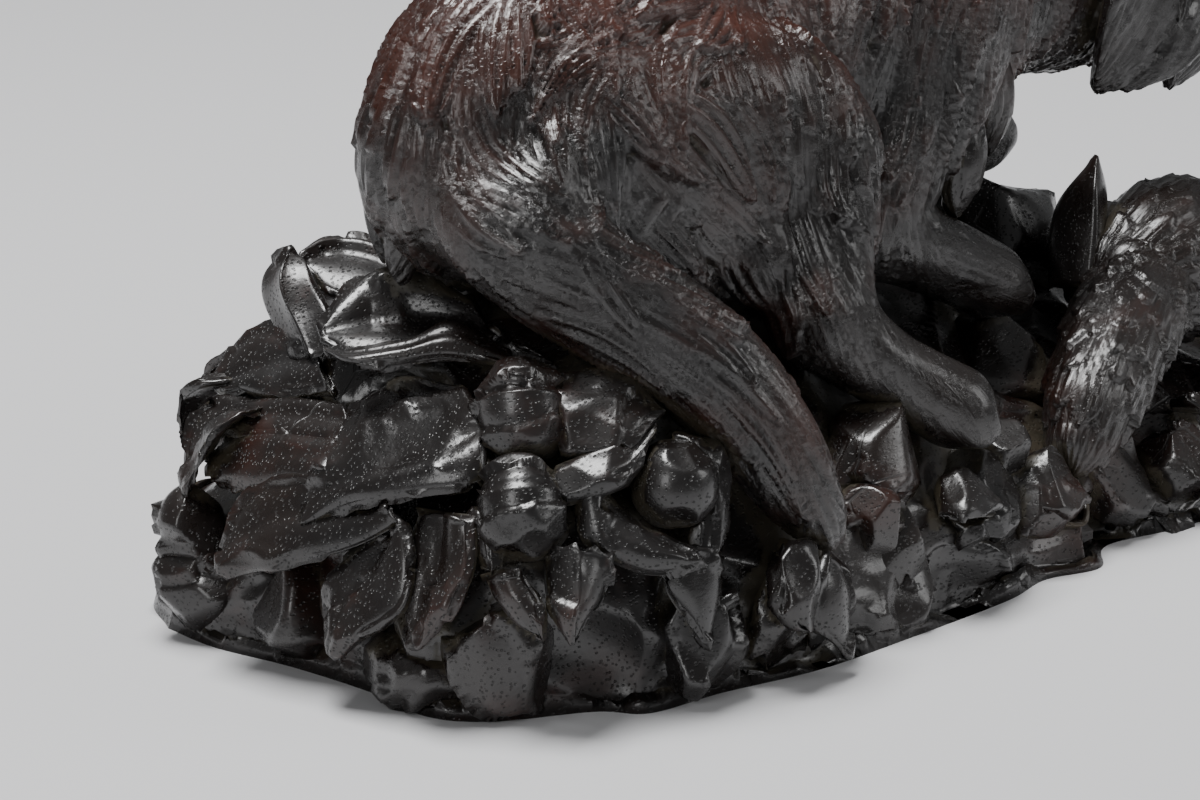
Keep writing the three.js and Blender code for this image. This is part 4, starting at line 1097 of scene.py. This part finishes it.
points, faces, marks = feathered(BIRD_BODY, 40, 150, np.random.default_rng(31), 4.6, length=11.0, width=7.0,
                                 strands=4, rise=1.5, cut=0.4, blunt=0.75, sway=0.2)
make_piece("bird_body", points, faces, coat_wood, **marks)
points, faces, marks = feathered(BIRD_NECK, 40, 120, np.random.default_rng(32), 4.0, length=10.0, width=6.0,
                                 strands=4, rise=1.3, cut=0.4, blunt=0.5, sway=0.25)
make_piece("bird_neck", points, faces, coat_wood, **marks)
head = ball(36, 48) * np.array([5.6, 5.0, 6.0]) + np.array([16.5, -41, 17])
parts = [wrap(head), leaf((16, -42, 14), (10, -43.5, 7.5), (-0.8, -0.5, 0.2), 5, -0.3, 0.1, 3.4, 24, 32),
         folded_leaf(RAISED_WING, 3.0)]
for feather in range(5):
    spread = feather - 2
    parts.append(leaf((84, -23 + 1.2 * spread, 20), (104 - abs(spread), -26 + 4 * spread, 13),
                      (0.2, 0.1 * spread, 1), 6.5, -0.2, 0.06, 2.4, 36, 40))
for feather in range(6):
    drop = feather / 5
    parts.append(leaf((58 + 3 * feather, -33, 33 - 4 * drop), (76 + 4 * feather, -43 + 5 * drop, 15),
                      (0.1, -0.8, 0.6), 8.5, -0.15, 0.12, 2.6, 36, 40))
points, faces = join(parts)
make_piece("bird_head_and_wings", points, faces, coat_wood)

# The dog's head, in the same wood, carved apart from the body so that its eyes and lips stay
# crisp. It runs into the neck, and only its back is haired.

SKULL = [(67, -3, 76, 12, 11.5), (76, -3.5, 75, 11.5, 11)]
MUZZLE = [(80, -4, 70, 8.5, 9.5), (91, -4.7, 67, 7.2, 8.4), (102, -5.5, 65.5, 6, 7)]
HEAD_LINE = -4
HEAD_TURN = -0.07
head = new_block(np.array([52.0, -20, 52]), np.array([112.0, 13, 92]), 0.5)
add_limb(head, NECK[-3:], 2)
add_limb(head, SKULL, 3)
add_limb(head, MUZZLE, 3)
refine(head)
add_egg(head, (105.5, -5.9, 68), (3.6, 4, 3.2), HEAD_TURN, 0, blend=0.8)
add_egg(head, (89, -4.7, 60.5), (13, 4.8, 3.6), HEAD_TURN, 0.06, blend=1)
for side in (-1, 1):
    add_egg(head, (94, HEAD_LINE - 0.8 + side * 4.6, 63.5), (10, 3.4, 6), HEAD_TURN, 0.08, blend=1)
    add_egg(head, (80, HEAD_LINE + side * 6.2, 79.5), (5.4, 3.6, 3.2), HEAD_TURN, 0.35, blend=1.6)
    add_egg(head, (76, HEAD_LINE + side * 7, 68), (8, 4.4, 8), HEAD_TURN, 0, blend=2)
    add_egg(head, (83.5, HEAD_LINE + side * 7.6, 76.0), (3.4, 2.4, 2.6), HEAD_TURN, 0, blend=1, sign=-1)
    add_egg(head, (83, HEAD_LINE + side * 6.4, 76.0), (2.3, 1.9, 1.9), HEAD_TURN, 0, blend=0.3)
    add_egg(head, (107.6, -6.1 + side * 1.9, 68.2), (1.6, 0.8, 0.8), HEAD_TURN, 0, blend=0.4, sign=-1)
points, faces = skin_of(head, 3)
normals = normals_of(points, faces)
way = flat_way(np.tile([-1.0, 0.0, -0.3], (len(points), 1)), normals)
rng = np.random.default_rng(41)
short = np.clip((98 - points[:, 0]) / 20, 0, 1)
height, across = lay_locks(points, normals, way, picks_over(points, 3.6, rng), rng, 9.0, 4.0, 3, 0.5, 0.35)
eyes = np.min([np.linalg.norm(points - np.array([83, HEAD_LINE + s * 6.6, 76]), axis=1) for s in (-1, 1)], 0)
short = short * np.clip((eyes - 3.2) / 2, 0, 1)
points = points + normals * ((height - 0.4) * short)[:, None]
make_piece("dog_head", points, faces, coat_wood, hollow=np.clip(1 - height / 0.4, 0, 1) * short,
           across=across)

# The dog's long ears, in the same wood: flat hanging flaps that fall from the back of the head
# along the neck, cut with long strands from root to tip.


def hair_leaf(root, tip, face, width, cup, arch, thick, rng, rings=80, sides=80):
    """A flat hanging flap: a leaf without a vein, cut with long locks from root to tip."""
    points, faces = leaf(root, tip, face, width, cup, arch, thick, rings, sides, 0)
    normals = normals_of(points, faces)
    line = np.array(tip, float) - np.array(root)
    way = flat_way(np.tile(line, (len(points), 1)), normals)
    height, across = lay_locks(points, normals, way, picks_over(points, 4.6, rng), rng,
                               min(18.0, 0.7 * np.linalg.norm(line)), 5.4, 3, 0.8, 0.6, sway=0.2)
    return points + normals * (height - 0.8)[:, None], faces, across


rng = np.random.default_rng(51)
flaps = []
for side in (-1, 1):
    flaps.append(hair_leaf((72, HEAD_LINE + side * 7, 85), (50, HEAD_LINE + side * 10, 60.5),
                           (0.1, side, 0.25), 27, 0.1, 0.1, 5.0, rng))
    flaps.append(hair_leaf((76, HEAD_LINE + side * 8.5, 80), (68, HEAD_LINE + side * 10.5, 57.5),
                           (0.1, side, 0.1), 17, 0.12, 0.1, 4.2, rng))
points, faces = join([flap[:2] for flap in flaps])
make_piece("dog_ears", points, faces, coat_wood, across=np.concatenate([flap[2] for flap in flaps]))

# Locks that hang clear of the dog's chest, elbows, rump and tail, in the same wood and cut like
# the ears. Each grows out of the coat at its root.

# Root, tip, the way it faces and width.
HANGING_LOCKS = [
    ((31, -9, 80), (32, -8, 61), (1, -0.6, 0.2), 11), ((33, -1, 80), (35, 0, 59), (1, 0, 0.2), 11),
    ((31, 8, 80), (34, 8, 60), (1, 0.6, 0.2), 11), ((24, -14, 74), (23, -14, 55), (0.6, -1, 0.1), 10),
    ((44, 8, 74), (51, 9, 62), (0.2, 1, -0.2), 12), ((48, -1, 70), (57, -2, 63), (0.6, 0, -1), 12),
    ((14, -18, 66), (10, -18, 48), (0.1, -1, 0.1), 10), ((4, -18, 66), (0, -19, 49), (0, -1, 0.1), 9),
    ((-80, 11, 78), (-83, 10, 55), (-1, 0.5, 0.1), 9), ((-81, 3, 78), (-87, 3, 54), (-1, 0, 0.1), 9),
    ((-73, 15, 76), (-77, 15, 54), (-0.7, 1, 0.1), 9), ((-64, 19, 74), (-68, 20, 52), (-0.2, 1, 0.1), 9),
]
flaps = [hair_leaf(*row, -0.15, 0.08, 4.6, rng, 50, 48) for row in HANGING_LOCKS]
points, faces = join([flap[:2] for flap in flaps])
make_piece("hanging_locks", points, faces, coat_wood, across=np.concatenate([flap[2] for flap in flaps]))

# Where dust settles on the whole carving: each point's hollow mark is raised by how closed in it
# is, so the shared wood turns pale and dull in the deep places.

HOLLOW_PITCH = 1.3
DUST_LOW = np.array([-120.0, -60, -8])
DUST_COUNT = (np.array([240.0, 120, 124]) / HOLLOW_PITCH).astype(int)


def vertices_of(piece, kind):
    """A piece's vertex places or normals as rows."""
    values = np.empty(3 * len(piece.data.vertices), np.float32)
    piece.data.vertices.foreach_get(kind, values)
    return values.reshape(-1, 3)


def cubes_at(places):
    """The cube of the dust grid that each place, in mm, lies in."""
    return tuple(np.clip(((places - DUST_LOW) / HOLLOW_PITCH).astype(int), 0, DUST_COUNT - 1).T)


wooden = [o for o in bpy.context.scene.objects if o.type == "MESH" and "hollow" in o.data.attributes]
filled = np.zeros(DUST_COUNT, np.float32)
for piece in wooden:
    filled[cubes_at(vertices_of(piece, "co") / MM)] = 1
for axis in (0, 1, 2, 0, 1, 2):
    filled = (np.roll(filled, 1, axis) + filled + np.roll(filled, -1, axis)) / 3
for piece in wooden:
    marks = piece.data.attributes["hollow"].data
    mark = np.empty(len(piece.data.vertices), np.float32)
    marks.foreach_get("value", mark)
    closed = filled[cubes_at(vertices_of(piece, "co") / MM + 3.2 * vertices_of(piece, "normal"))]
    mark = np.clip(0.45 * mark + np.clip(3.0 * closed - 0.35, 0, 1), 0, 1)
    marks.foreach_set("value", mark.astype(np.float32))

# The studio: a pale floor, a soft light overhead, two at the sides, and the camera close to the
# rump end, as the photograph has it.

floor_mesh = bpy.data.meshes.new("floor")
floor_mesh.from_pydata([(-6, -6, 0), (6, -6, 0), (6, 6, 0), (-6, 6, 0)], [], [(0, 1, 2, 3)])
floor = bpy.data.objects.new("floor", floor_mesh)
bpy.context.scene.collection.objects.link(floor)
paper = bpy.data.materials.new("pale_paper")
paper.use_nodes = True
paper.node_tree.nodes["Principled BSDF"].inputs["Base Color"].default_value = (0.60, 0.60, 0.61, 1)
paper.node_tree.nodes["Principled BSDF"].inputs["Roughness"].default_value = 0.75
floor_mesh.materials.append(paper)

world = bpy.data.worlds.new("studio")
world.use_nodes = True
world.node_tree.nodes["Background"].inputs["Color"].default_value = (0.78, 0.79, 0.80, 1)
world.node_tree.nodes["Background"].inputs["Strength"].default_value = 0.22
bpy.context.scene.world = world


def soft_light(name, place, aim, width, height, power):
    """A softbox of the given size, turned to face a point."""
    lamp = bpy.data.lights.new(name, "AREA")
    lamp.shape = "RECTANGLE"
    lamp.size, lamp.size_y = width, height
    lamp.energy = power
    light = bpy.data.objects.new(name, lamp)
    light.location = place
    light.rotation_euler = (Vector(aim) - Vector(place)).to_track_quat("-Z", "Y").to_euler()
    bpy.context.scene.collection.objects.link(light)


soft_light("overhead", (-0.10, 0.14, 0.90), (-0.05, 0, 0.03), 0.46, 0.36, 14.0)
soft_light("front_left", (-0.95, -0.30, 0.45), (-0.05, 0, 0.05), 0.30, 0.50, 2.0)
soft_light("right", (0.55, -0.65, 0.45), (0, 0, 0.05), 0.35, 0.45, 1.6)

lens = bpy.data.cameras.new("camera")
lens.sensor_width = 36.0
lens.lens = lens.sensor_width * DISTANCE / FRAME_WIDTH
lens.clip_start = 0.01
camera = bpy.data.objects.new("camera", lens)
camera.location = (AIM + DISTANCE * BACK) * MM
camera.rotation_euler = Vector(-BACK).to_track_quat("-Z", "Y").to_euler()
bpy.context.scene.collection.objects.link(camera)
bpy.context.scene.camera = camera
